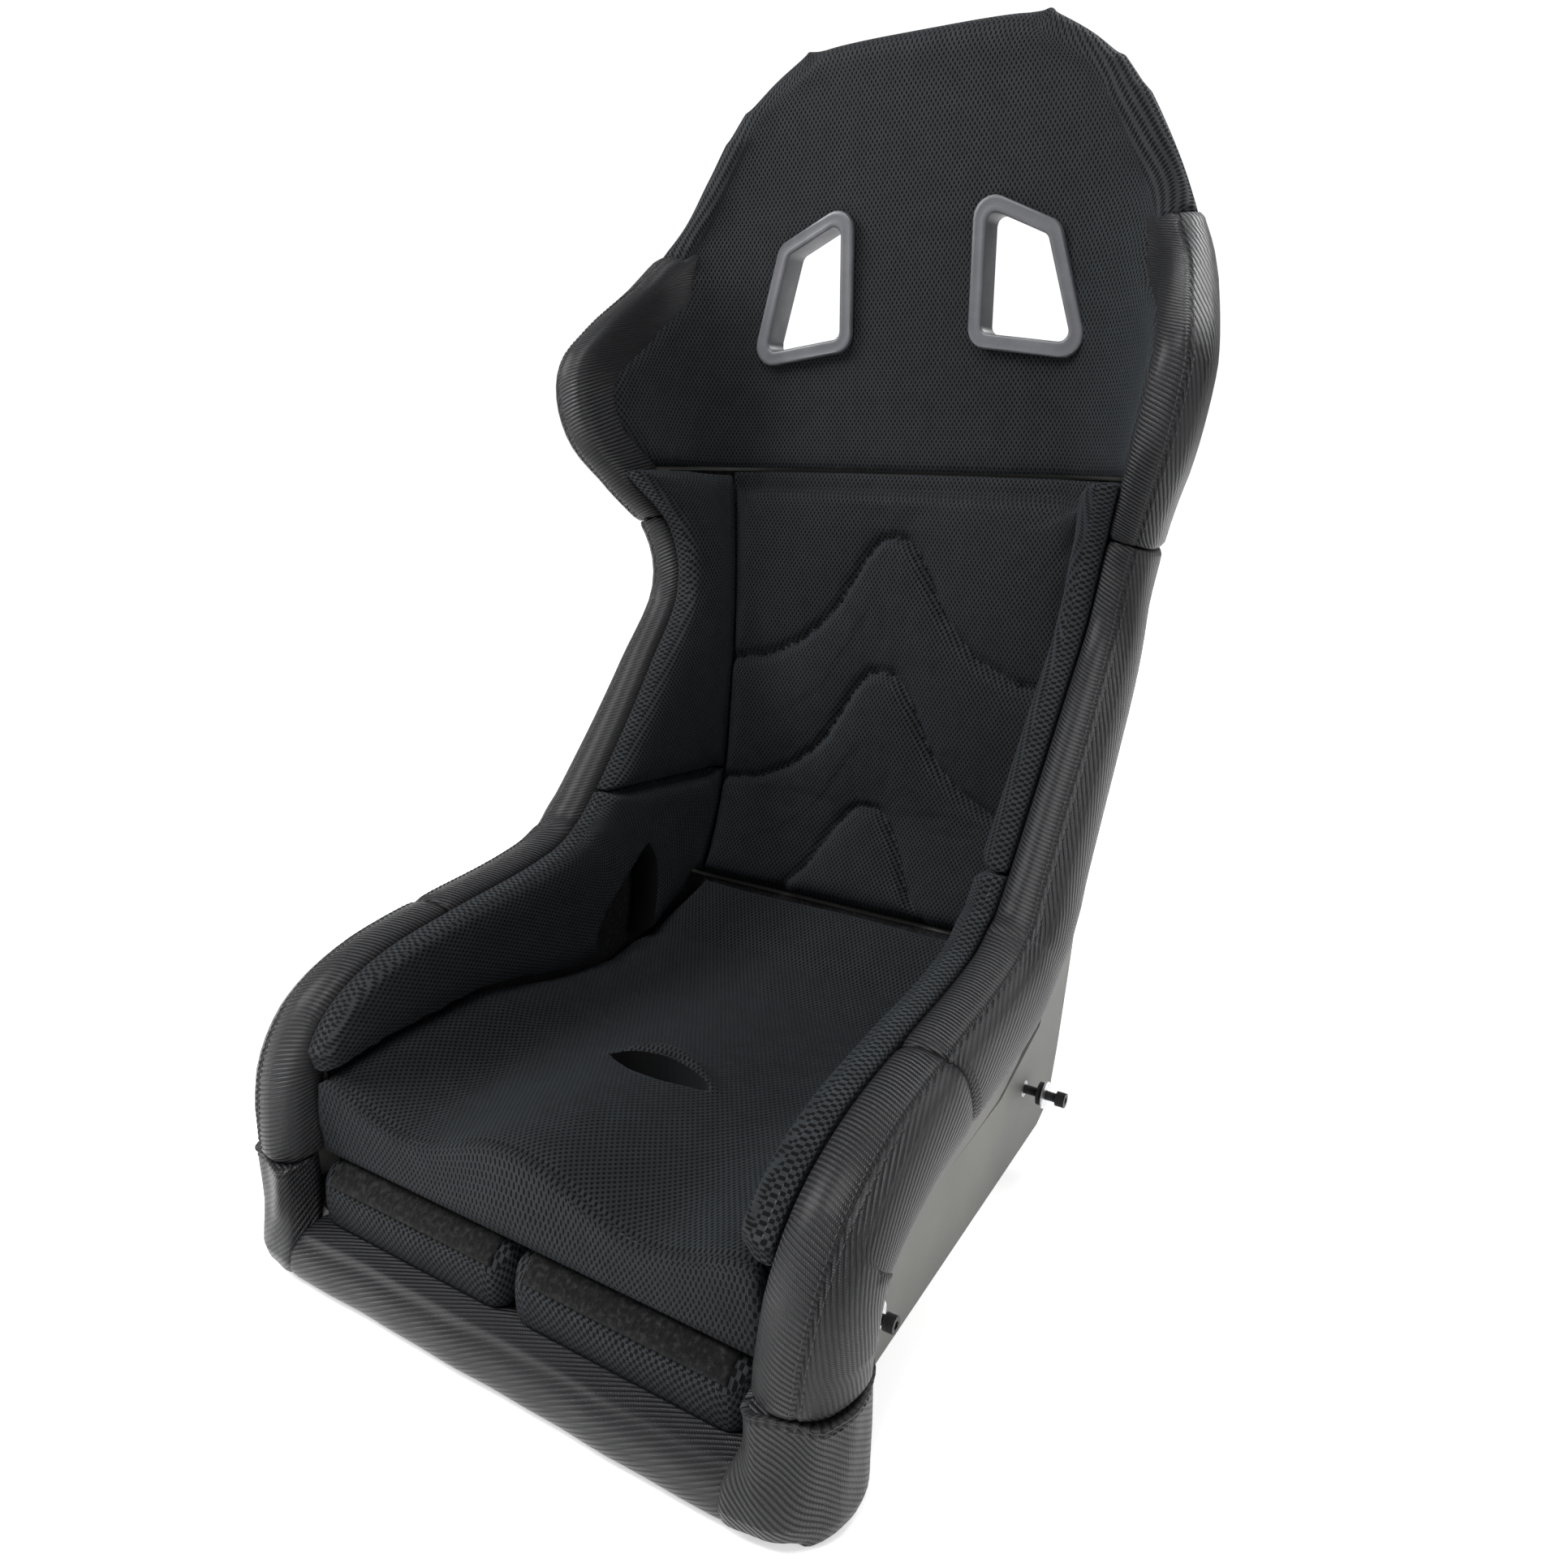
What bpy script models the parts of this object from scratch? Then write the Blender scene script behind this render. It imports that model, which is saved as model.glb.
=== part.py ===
"""Fixed-back racing bucket seat, side mounted, built as its separate pieces.

Metres, +Z up, the driver faces -Y and the seat is symmetric about X = 0.  The origin is on the
floor under the middle of the seat.  The moulded shell is one curved surface: a spine in the
YZ plane from the pan's front lip to the top of the head, and a lip that runs up the side
walls.  Every trim piece is worked out from that surface, so it follows the shell.
"""
import math

import bmesh
import bpy
import numpy as np
from mathutils import Matrix, Vector

# ---- driving dimensions -------------------------------------------------------------------
WALL = 0.0055                 # glass-fibre laminate
GAP = 0.0004                  # clearance between neighbouring pieces
SKIN_GAP = 0.0008             # clearance of trim laid on the curved shell
SLOT_GAP = 0.0014             # clearance of trim that hangs over the shell's lips
FLANK_X = 0.2170              # outer face of the flat mounting flanks
MOUNT_SPACING = 0.290         # front to rear mounting screws
FRONT_SCREW = (-0.169, 0.042)            # Y and Z of the front screw's axis
REAR_SCREW = (FRONT_SCREW[0] + MOUNT_SPACING, 0.062)
Y_SHIFT = 0.0028              # moves the whole seat so that its box is centred on Y = 0

# Rows from the pan's front lip to the top of the head:
# spine Y, spine Z, corner X, bend width, bend height, lip X, lip Y, lip Z
SHELL_ROWS = np.array([
    (-0.296, 0.034, 0.209, 0.026, 0.026, 0.213, -0.297, 0.112),
    (-0.265, 0.034, 0.209, 0.026, 0.026, 0.216, -0.288, 0.158),
    (-0.220, 0.035, 0.209, 0.026, 0.026, 0.218, -0.258, 0.195),
    (-0.160, 0.036, 0.209, 0.028, 0.028, 0.219, -0.205, 0.217),
    (-0.090, 0.037, 0.209, 0.036, 0.036, 0.219, -0.130, 0.226),
    (-0.010, 0.040, 0.209, 0.045, 0.045, 0.219, -0.055, 0.231),
    (0.060, 0.047, 0.209, 0.045, 0.045, 0.219, -0.010, 0.237),
    (0.120, 0.066, 0.209, 0.045, 0.045, 0.219, 0.010, 0.243),
    (0.168, 0.103, 0.209, 0.044, 0.044, 0.219, 0.024, 0.250),
    (0.208, 0.156, 0.211, 0.045, 0.045, 0.220, 0.036, 0.257),
    (0.240, 0.212, 0.213, 0.045, 0.045, 0.220, 0.047, 0.267),
    (0.258, 0.262, 0.214, 0.045, 0.045, 0.220, 0.064, 0.284),
    (0.270, 0.325, 0.214, 0.045, 0.045, 0.220, 0.110, 0.334),
    (0.281, 0.395, 0.214, 0.045, 0.045, 0.221, 0.160, 0.392),
    (0.292, 0.460, 0.215, 0.045, 0.045, 0.223, 0.212, 0.458),
    (0.300, 0.515, 0.219, 0.048, 0.048, 0.232, 0.214, 0.520),
    (0.306, 0.565, 0.221, 0.065, 0.065, 0.250, 0.176, 0.570),
    (0.310, 0.615, 0.229, 0.085, 0.085, 0.268, 0.143, 0.618),
    (0.311, 0.665, 0.234, 0.100, 0.095, 0.275, 0.143, 0.668),
    (0.311, 0.710, 0.232, 0.110, 0.090, 0.268, 0.180, 0.708),
    (0.311, 0.755, 0.224, 0.115, 0.070, 0.254, 0.238, 0.752),
    (0.311, 0.800, 0.208, 0.115, 0.034, 0.232, 0.275, 0.798),
    (0.311, 0.845, 0.185, 0.110, 0.022, 0.208, 0.287, 0.843),
    (0.310, 0.885, 0.160, 0.100, 0.016, 0.183, 0.292, 0.883),
    (0.309, 0.918, 0.132, 0.085, 0.011, 0.155, 0.296, 0.914),
    (0.307, 0.945, 0.092, 0.060, 0.006, 0.112, 0.300, 0.938),
])
LAST_ROW = len(SHELL_ROWS) - 1

# Stations (row numbers) where trim pieces meet
MID_SEAM, UPPER_SEAM, WING_TOP = 3.97, 15.20, 20.35
HEAD_START, BACK_TOP = 16.30, 16.15
TORSO_START, HIP_END = 11.05, 10.95
BACK_BOTTOM = 8.95

# Outline of one flank plate in YZ, down to the floor
FLANK_OUTLINE = [(-0.2960, 0.0), (0.165, 0.0), (0.183, 0.006), (0.198, 0.022), (0.211, 0.060),
                 (0.229, 0.135), (0.243, 0.200), (0.222, 0.205), (0.150, 0.110),
                 (0.060, 0.085), (-0.2960, 0.085)]

# Right harness opening: corners in XZ, seen from the front
HARNESS_HOLE = [(0.0725, 0.8030), (0.1290, 0.7775), (0.1560, 0.6900), (0.0725, 0.7010)]
HARNESS_CORNER = 0.010        # corner radius
BEZEL_WIDTH = 0.0130
BEZEL_FACE_Y = 0.2870         # front face of the harness bezels

LAP_SLOT = dict(y=0.058, z=0.176, length=0.085, width=0.030, angle=math.radians(52))
CROTCH_SLOT = dict(y=-0.125, length=0.084, width=0.030)

INSERT_RADIUS, INSERT_INNER_X = 0.0075, 0.2085

CUSHION_HALF = 0.1965
CUSHION_FRONT, CUSHION_REAR = -0.2920, 0.1870
THIGH_PAD = dict(x0=0.0030, x1=0.1925, y0=-0.2900, y1=-0.1700, z0=0.0406, z1=0.0875)
LOOP_THICK = 0.0028

COLLECTION = "racing_seat"


# ---- scene and materials ------------------------------------------------------------------
for old in list(bpy.data.objects):
    bpy.data.objects.remove(old, do_unlink=True)

parts = bpy.data.collections.new(COLLECTION)
cutters = bpy.data.collections.new("cutters")
bpy.context.scene.collection.children.link(parts)
bpy.context.scene.collection.children.link(cutters)


def material(name, colour, roughness, metallic=0.0):
    mat = bpy.data.materials.new(name)
    mat.use_nodes = True
    shader = mat.node_tree.nodes["Principled BSDF"]
    shader.inputs["Base Color"].default_value = (*colour, 1.0)
    shader.inputs["Roughness"].default_value = roughness
    shader.inputs["Metallic"].default_value = metallic
    mat.diffuse_color = (*colour, 1.0)
    return mat


MESH_BLACK = (0.020, 0.022, 0.025)
VINYL_DARK = (0.045, 0.046, 0.050)
PLASTIC_DARK = (0.055, 0.057, 0.060)
GELCOAT_GREY = (0.25, 0.25, 0.25)
LOOP_BLACK = (0.030, 0.030, 0.032)
BLACK_OXIDE = (0.030, 0.030, 0.032)
ZINC = (0.62, 0.63, 0.65)


def add_object(name, mesh, mat, location=(0.0, 0.0, 0.0), smooth=True):
    mesh.materials.clear()
    mesh.materials.append(mat)
    if smooth:
        mesh.shade_smooth()
        mesh.set_sharp_from_angle(angle=math.radians(35))
    obj = bpy.data.objects.new(name, mesh)
    obj.location = location
    parts.objects.link(obj)
    return obj


def add_cutter(name, mesh):
    obj = bpy.data.objects.new(name, mesh)
    obj.hide_render = True
    obj.display_type = "WIRE"
    cutters.objects.link(obj)
    return obj


def cut(obj, cutter, operation="DIFFERENCE"):
    mod = obj.modifiers.new(cutter.name, "BOOLEAN")
    mod.operation = operation
    mod.solver = "EXACT"
    mod.object = cutter


# ---- the shell's surface ------------------------------------------------------------------
def curve_row(s):
    """Catmull-Rom through the shell's rows at station s."""
    k = min(max(int(math.floor(s)), 0), LAST_ROW - 1)
    t = s - k
    p0, p1 = SHELL_ROWS[max(k - 1, 0)], SHELL_ROWS[k]
    p2, p3 = SHELL_ROWS[k + 1], SHELL_ROWS[min(k + 2, LAST_ROW)]
    return 0.5 * (2 * p1 + (p2 - p0) * t + (2 * p0 - 5 * p1 + 4 * p2 - p3) * t ** 2
                  + (3 * p1 - p0 - 3 * p2 + p3) * t ** 3)


def row_at(s):
    """Straight between half stations, so that every piece shares the shell's facets."""
    k = min(math.floor(2 * s) / 2, LAST_ROW - 0.5)
    return curve_row(k) + (curve_row(k + 0.5) - curve_row(k)) * (s - k) * 2


def stations_between(first, last, margin=0.0):
    """The shell's own half stations between two ends, with the ends."""
    inner = [k / 2 for k in range(2 * LAST_ROW + 1)
             if first + 0.03 < k / 2 < last - 0.03]
    ends = [first + margin, last - margin] if margin else []
    return np.array(sorted([first, last, *ends, *inner]))


sections = {}


def section(s):
    """Half of the section at station s: points (x, v), v measured from spine towards lip."""
    key = round(s, 5)
    if key not in sections:
        sy, sz, corner, bend_x, bend_v, lip_x, lip_y, lip_z = row_at(s)
        depth = math.hypot(lip_y - sy, lip_z - sz)
        bend_v = min(bend_v, 0.97 * depth)
        a = np.array((corner - bend_x, 0.0))
        b = np.array((corner, 0.0))
        lip = np.array((lip_x, depth))
        c = b + (lip - b) * bend_v / depth
        t = np.linspace(0.0, 1.0, 17)[:, None]
        w = 0.72
        arc = ((1 - t) ** 2 * a + 2 * w * t * (1 - t) * b + t ** 2 * c)
        arc = arc / ((1 - t) ** 2 + 2 * w * t * (1 - t) + t ** 2)
        points = np.vstack([[0.0, 0.0], arc, lip, lip + (lip - c) / np.linalg.norm(lip - c) * 0.05])
        steps = np.linalg.norm(np.diff(points, axis=0), axis=1)
        arc_length = np.concatenate([[0.0], np.cumsum(steps)])
        bend = (arc_length[1], arc_length[17])
        direction = np.array((lip_y - sy, lip_z - sz)) / depth
        sections[key] = (points, arc_length, bend, np.array((sy, sz)), direction)
    return sections[key]


def point(s, d):
    """Inner surface at station s, d metres along the section from the spine (minus is left)."""
    points, arc_length, _, spine, direction = section(s)
    x = np.interp(abs(d), arc_length, points[:, 0])
    v = np.interp(abs(d), arc_length, points[:, 1])
    yz = spine + v * direction
    return np.array((math.copysign(x, d) if d else 0.0, yz[0], yz[1]))


def lip_length(s):
    return section(s)[1][18]


def bend_end(s):
    return section(s)[2][1]


def normal(s, d):
    """Unit normal of the shell's surface, pointing at the driver."""
    step = 0.02
    s0, s1 = max(s - step, 0.0), min(s + step, LAST_ROW)
    share = d / lip_length(s)
    along = point(s1, share * lip_length(s1)) - point(s0, share * lip_length(s0))
    across = point(s, d + 0.001) - point(s, d - 0.001)
    n = np.cross(across, along)
    return n / np.linalg.norm(n)


def off(s, d, height):
    return point(s, d) + height * normal(s, d)


def lip_margin(s, width):
    """Distance along the section that keeps width clear of the lip, measured square to it."""
    a, b = max(s - 0.05, 0.0), min(s + 0.05, LAST_ROW)
    along = point(b, lip_length(b)) - point(a, lip_length(a))
    across = point(s, lip_length(s)) - point(s, lip_length(s) - 0.01)
    cross = np.cross(along / np.linalg.norm(along), across / np.linalg.norm(across))
    return width / np.linalg.norm(cross)


# ---- mesh builders ------------------------------------------------------------------------
def face_outwards(bm):
    bmesh.ops.recalc_face_normals(bm, faces=bm.faces)
    if bm.calc_volume(signed=True) < 0:
        bmesh.ops.reverse_faces(bm, faces=bm.faces)


def mesh_from(name, verts, faces):
    mesh = bpy.data.meshes.new(name)
    mesh.from_pydata([tuple(map(float, v)) for v in verts], [], faces)
    bm = bmesh.new()
    bm.from_mesh(mesh)
    face_outwards(bm)
    bm.to_mesh(mesh)
    bm.free()
    return mesh


def slab(name, stations, across, low, high):
    """Closed slab over the shell: across(s) gives the d values of a row; low and high give
    its two faces' heights above the shell at grid place (i, j)."""
    rows = len(stations)
    grid = [across(s) for s in stations]
    cols = len(grid[0])
    verts = []
    for height in (low, high):
        for i, s in enumerate(stations):
            verts += [off(s, d, height(i / (rows - 1), j / (cols - 1)))
                      for j, d in enumerate(grid[i])]
    layer = rows * cols
    faces = []
    for i in range(rows - 1):
        for j in range(cols - 1):
            a = i * cols + j
            quad = (a, a + 1, a + cols + 1, a + cols)
            faces.append(quad[::-1])
            faces.append(tuple(v + layer for v in quad))
    rim = [j for j in range(cols)]
    rim += [i * cols + cols - 1 for i in range(1, rows)]
    rim += [(rows - 1) * cols + j for j in range(cols - 2, -1, -1)]
    rim += [i * cols for i in range(rows - 2, 0, -1)]
    for a, b in zip(rim, rim[1:] + rim[:1]):
        faces.append((a, b, b + layer, a + layer))
    return mesh_from(name, verts, faces)


def crowned(low, high, edge=0.16):
    """Height of a pad's face: full in the middle, falling towards low at its borders."""
    def height(u, v):
        border = min(u, 1 - u, v, 1 - v) / edge
        fall = math.sqrt(max(0.0, 1 - (1 - min(border, 1.0)) ** 2))
        return low + (high - low) * (0.35 + 0.65 * fall)
    return height


def flat(height):
    return lambda u, v: height


def eased(count, edge=0.06):
    """0 to 1 in count steps, with a close step at each end for a rounded border."""
    inner = np.linspace(edge, 1 - edge, count - 2)
    return np.concatenate([[0.0], inner, [1.0]])


def loft(name, rings):
    """Closed solid through rings of the same number of points."""
    count = len(rings[0])
    verts = [spot for ring in rings for spot in ring]
    faces = []
    for k in range(len(rings) - 1):
        for j in range(count):
            a, b = k * count + j, k * count + (j + 1) % count
            faces.append((a, b, b + count, a + count))
    faces.append(tuple(range(count))[::-1])
    faces.append(tuple(range(len(verts) - count, len(verts))))
    return mesh_from(name, verts, faces)


def mirrored(name, mesh):
    copy = mesh.copy()
    copy.name = name
    copy.transform(Matrix.Scale(-1, 4, Vector((1, 0, 0))))
    copy.flip_normals()
    return copy


def prism(name, outline, low, high, axis):
    """Closed outline extruded along an axis: a flat 2D curve, made a mesh."""
    curve = bpy.data.curves.new(name, "CURVE")
    curve.dimensions = "2D"
    curve.fill_mode = "BOTH"
    curve.extrude = abs(high - low) / 2
    loops = outline if isinstance(outline[0][0], (tuple, list, np.ndarray)) else [outline]
    for loop in loops:
        spline = curve.splines.new("POLY")
        spline.points.add(len(loop) - 1)
        for spot, (a, b) in zip(spline.points, loop):
            spot.co = (float(a), float(b), 0.0, 1.0)
        spline.use_cyclic_u = True
    holder = bpy.data.objects.new(name, curve)
    cutters.objects.link(holder)
    bpy.context.view_layer.update()
    graph = bpy.context.evaluated_depsgraph_get()
    mesh = bpy.data.meshes.new_from_object(holder.evaluated_get(graph))
    bpy.data.objects.remove(holder, do_unlink=True)
    bm = bmesh.new()
    bm.from_mesh(mesh)
    bmesh.ops.remove_doubles(bm, verts=bm.verts, dist=1e-6)
    middle = (low + high) / 2
    for vert in bm.verts:
        a, b, c = vert.co
        vert.co = {"X": (c + middle, a, b), "Y": (a, c + middle, b), "Z": (a, b, c + middle)}[axis]
    face_outwards(bm)
    bm.to_mesh(mesh)
    bm.free()
    return mesh


def rounded(corners, radius, steps=4):
    """Polygon with its corners turned into arcs."""
    result = []
    for k, corner in enumerate(corners):
        here = Vector(corner)
        before = (Vector(corners[k - 1]) - here).normalized()
        after = (Vector(corners[(k + 1) % len(corners)]) - here).normalized()
        half = before.angle(after) / 2
        reach = radius / math.tan(half)
        centre = here + (before + after).normalized() * radius / math.sin(half)
        start, stop = here + before * reach - centre, here + after * reach - centre
        a0 = math.atan2(start.y, start.x)
        sweep_angle = (math.atan2(stop.y, stop.x) - a0 + math.pi) % (2 * math.pi) - math.pi
        for i in range(steps + 1):
            a = a0 + sweep_angle * i / steps
            result.append((centre.x + radius * math.cos(a), centre.y + radius * math.sin(a)))
    return result


def grown(corners, amount):
    """Convex polygon with every side moved outwards by amount."""
    count = len(corners)
    centre = sum((Vector(c) for c in corners), Vector((0, 0))) / count
    lines = []
    for k in range(count):
        a, b = Vector(corners[k]), Vector(corners[(k + 1) % count])
        side = (b - a).normalized()
        out = Vector((side.y, -side.x))
        if out.dot(a - centre) < 0:
            out = -out
        lines.append((a + out * amount, side))
    result = []
    for k in range(count):
        p, u = lines[k - 1]
        q, v = lines[k]
        cross = u.x * v.y - u.y * v.x
        t = ((q.x - p.x) * v.y - (q.y - p.y) * v.x) / cross
        result.append(tuple(p + u * t))
    return result


def stadium(cy, cz, length, width, angle, steps=8):
    """Outline of a slot with round ends."""
    half, radius = (length - width) / 2, width / 2
    spots = []
    for end, start in ((1, -math.pi / 2), (-1, math.pi / 2)):
        for k in range(steps + 1):
            a = start + math.pi * k / steps
            x, y = end * half + radius * math.cos(a), radius * math.sin(a)
            spots.append((cy + x * math.cos(angle) - y * math.sin(angle),
                          cz + x * math.sin(angle) + y * math.cos(angle)))
    return spots


def cylinder(radius, length, sides=24):
    """Cylinder along +X from X = 0, closed."""
    bm = bmesh.new()
    bmesh.ops.create_cone(bm, cap_ends=True, segments=sides, radius1=radius, radius2=radius,
                          depth=length)
    turn = Matrix.Rotation(math.pi / 2, 4, "Y")
    bmesh.ops.transform(bm, matrix=Matrix.Translation((length / 2, 0, 0)) @ turn, verts=bm.verts)
    mesh = bpy.data.meshes.new("cylinder")
    bm.to_mesh(mesh)
    bm.free()
    return mesh


def lathe(profile, sides=24):
    """Closed profile (x, r) turned about the X axis; the profile stays off the axis."""
    verts, faces = [], []
    ring = len(profile)
    for k in range(sides):
        a = 2 * math.pi * k / sides
        verts += [(x, r * math.cos(a), r * math.sin(a)) for x, r in profile]
    for k in range(sides):
        for j in range(ring):
            a, b = k * ring + j, k * ring + (j + 1) % ring
            c, d = ((k + 1) % sides) * ring + (j + 1) % ring, ((k + 1) % sides) * ring + j
            faces.append((a, b, c, d))
    return mesh_from("lathe", verts, faces)


# ---- moulded shell ------------------------------------------------------------------------
def shell_surface():
    """Open inner surface of the seat tub, from the pan's front lip to the top of the head."""
    stations = np.linspace(0.0, LAST_ROW, 2 * LAST_ROW + 1)
    shares = np.concatenate([np.linspace(0, 1, 3)[:-1], np.linspace(1, 2, 7)[:-1],
                             np.linspace(2, 3, 4)])
    verts = []
    for s in stations:
        bend0, bend1 = section(s)[2]
        marks = (0.0, bend0, bend1, lip_length(s))
        half = [np.interp(share, range(4), marks) for share in shares]
        verts += [point(s, d) for d in [-d for d in half[:0:-1]] + half]
    cols = 2 * len(shares) - 1
    faces = []
    for i in range(len(stations) - 1):
        for j in range(cols - 1):
            a = i * cols + j
            faces.append((a, a + 1, a + cols + 1, a + cols))
    mesh = bpy.data.meshes.new("seat_shell")
    mesh.from_pydata([tuple(map(float, v)) for v in verts], [], faces)
    return mesh


def box(name, low, high):
    bm = bmesh.new()
    bmesh.ops.create_cube(bm, size=1.0)
    size = [b - a for a, b in zip(low, high)]
    middle = [(a + b) / 2 for a, b in zip(low, high)]
    bmesh.ops.scale(bm, vec=size, verts=bm.verts)
    bmesh.ops.translate(bm, vec=middle, verts=bm.verts)
    mesh = bpy.data.meshes.new(name)
    bm.to_mesh(mesh)
    bm.free()
    return mesh


def both_sides(outline):
    return (outline, [(-x, z) for x, z in outline])


gelcoat = material("gelcoat", GELCOAT_GREY, 0.55)
shell = add_object("seat_shell", shell_surface(), gelcoat)
skin = shell.modifiers.new("laminate", "SOLIDIFY")
skin.thickness = WALL
skin.offset = -1.0
skin.use_even_offset = True

for side in (1, -1):
    plate = prism("flank", FLANK_OUTLINE, side * (FLANK_X - WALL), side * FLANK_X, "X")
    cut(shell, add_cutter(f"flank_{side}", plate), "UNION")
apron = box("apron", (-FLANK_X + 0.001, -0.3000, 0.0), (FLANK_X - 0.001, -0.2950, 0.0320))
cut(shell, add_cutter("apron", apron), "UNION")

for side, outline in zip(("right", "left"), both_sides(HARNESS_HOLE)):
    window = rounded(grown(outline, 0.0030), HARNESS_CORNER)
    cut(shell, add_cutter(f"harness_cut_{side}", prism("cut", window, 0.25, 0.36, "Y")))

lap = LAP_SLOT
lap_cut_outline = stadium(lap["y"], lap["z"], lap["length"], lap["width"], lap["angle"])
for side in (1, -1):
    lap_cut = prism("cut", lap_cut_outline, side * 0.195, side * 0.235, "X")
    cut(shell, add_cutter(f"lap_cut_{side}", lap_cut))

crotch = CROTCH_SLOT
crotch_outline = stadium(0.0, crotch["y"], crotch["length"], crotch["width"], 0.0)
cut(shell, add_cutter("crotch_cut", prism("cut", crotch_outline, 0.015, 0.060, "Z")))

for place, (y, z) in (("front", FRONT_SCREW), ("rear", REAR_SCREW)):
    for side in (1, -1):
        pocket = cylinder(INSERT_RADIUS + 0.0003, 0.030, 28)
        start = INSERT_INNER_X - 0.0003
        pocket.transform(Matrix.Translation((start if side > 0 else -start - 0.030, y, z)))
        cut(shell, add_cutter(f"insert_pocket_{place}_{side}", pocket))


# ---- lining -------------------------------------------------------------------------------
LINING = 0.0020
lining_mat = material("lining", LOOP_BLACK, 0.95)


def columns(s, half):
    """Places across the section, close together in the bends, out to half on each side."""
    bend = section(s)[2][0]
    right = np.concatenate([np.linspace(0.0, bend, 3)[:-1], np.linspace(bend, half, 6)])
    return np.concatenate([-right[:0:-1], right])


def pan_rows(s):
    return columns(s, bend_end(s) + 0.004)


pan_lining = add_object("pan_lining", slab("pan_lining", stations_between(0.25, 8.9), pan_rows,
                                           flat(SKIN_GAP), flat(LINING)), lining_mat)
cut(pan_lining, add_cutter("crotch_cut_lining",
                           prism("cut", crotch_outline, 0.015, 0.060, "Z")))
back_lining = add_object("back_lining", slab("back_lining", stations_between(8.95, 16.2),
                                             pan_rows, flat(SKIN_GAP), flat(LINING)),
                         lining_mat)
LINING_MARGIN = 0.0230


def wall_rows(s):
    return np.linspace(bend_end(s) + 0.0050, lip_length(s) - lip_margin(s, LINING_MARGIN), 5)


side_lining_mesh = slab("side_lining_right", stations_between(1.6, 15.2), wall_rows,
                        flat(SKIN_GAP), flat(LINING))
for side, mesh in (("right", side_lining_mesh),
                   ("left", mirrored("side_lining_left", side_lining_mesh))):
    obj = add_object(f"side_lining_{side}", mesh, lining_mat)
    sign = 1 if side == "right" else -1
    slot = stadium(lap["y"], lap["z"], lap["length"] + 0.024, lap["width"] + 0.024, lap["angle"])
    cut(obj, add_cutter(f"lap_cut_lining_{side}",
                        prism("cut", slot, sign * 0.185, sign * 0.235, "X")))


# ---- padded edge rolls --------------------------------------------------------------------
vinyl = material("carbon_vinyl", VINYL_DARK, 0.42)


def lip_ring(s, profile):
    """Ring of a trim piece that hangs over the lip at station s: v is square to the lip, w
    away from the driver."""
    stretch = lip_margin(s, 1.0)
    return [off(s, lip_length(s) + v * stretch, -w) for v, w in profile]


def frame_ring(frame, profile):
    """The same ring at a given origin, outward direction and direction behind the shell."""
    origin, outward, behind = frame
    return [origin + v * outward + w * behind for v, w in profile]


def roll_profile(leg, inner, crest, drop, bulge):
    """Padding that hangs over the lip like an upturned U: leg is how far it reaches down
    inside, inner its thickness there, crest its height above the lip, drop how far it comes
    down outside and bulge how far it stands out from the shell's inner face."""
    w0, w1, slot = -1.5 * SLOT_GAP, WALL + 1.5 * SLOT_GAP, SLOT_GAP
    mid = (w1 + bulge) / 2
    return [(-leg, w0), (-leg, -inner), (-0.002, -inner),
            (crest * 0.60, -inner * 0.62), (crest * 0.96, 0.10 * bulge), (crest, 0.30 * bulge),
            (crest * 0.70, 0.62 * bulge), (crest * 0.10, 0.85 * bulge),
            (-0.30 * drop, 0.98 * bulge), (-0.65 * drop, 0.96 * bulge),
            (-0.92 * drop, 0.72 * bulge), (-drop, mid * 0.75), (-0.93 * drop, w1),
            (-0.68 * drop, w1), (-0.42 * drop, w1), (-0.18 * drop, w1),
            (slot, w1), (slot, w0)]


# station, leg, inner, crest, drop, bulge
ROLL_TABLE = np.array([
    (-1.0, 0.020, 0.0105, 0.020, 0.055, 0.050),
    (0.0, 0.020, 0.0105, 0.016, 0.055, 0.050),
    (2.0, 0.020, 0.0105, 0.013, 0.058, 0.049),
    (5.0, 0.020, 0.0105, 0.013, 0.060, 0.047),
    (10.0, 0.020, 0.0105, 0.013, 0.060, 0.044),
    (13.0, 0.020, 0.0105, 0.013, 0.058, 0.038),
    (14.4, 0.020, 0.0105, 0.013, 0.052, 0.032),
    (15.5, 0.024, 0.0105, 0.013, 0.056, 0.033),
    (16.5, 0.036, 0.0110, 0.014, 0.075, 0.036),
    (18.0, 0.042, 0.0110, 0.014, 0.085, 0.036),
    (19.5, 0.036, 0.0110, 0.013, 0.060, 0.032),
    (20.4, 0.020, 0.0110, 0.012, 0.026, 0.022),
])


def roll_at(s):
    values = [np.interp(s, ROLL_TABLE[:, 0], ROLL_TABLE[:, k]) for k in range(1, 6)]
    return roll_profile(*values)


def front_edge_ring(z):
    """Ring round the front edge of the side wall, below the start of the lip."""
    top = lip_length(0.0)
    origin = point(0.0, top - (point(0.0, top)[2] - z))
    frame = (origin, np.array((0.0, -1.0, 0.0)), np.array((1.0, 0.0, 0.0)))
    return frame_ring(frame, roll_at(-1.0))


def rising_ring(s):
    """Ring square to the lip where it climbs steeply from the seat's front."""
    along = point(s + 0.05, lip_length(s + 0.05)) - point(s - 0.05, lip_length(s - 0.05))
    inwards = normal(s, lip_length(s) - 0.001)
    outward = np.cross(along, inwards)
    frame = (point(s, lip_length(s)), outward / np.linalg.norm(outward), -inwards)
    return frame_ring(frame, roll_at(s))


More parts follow.
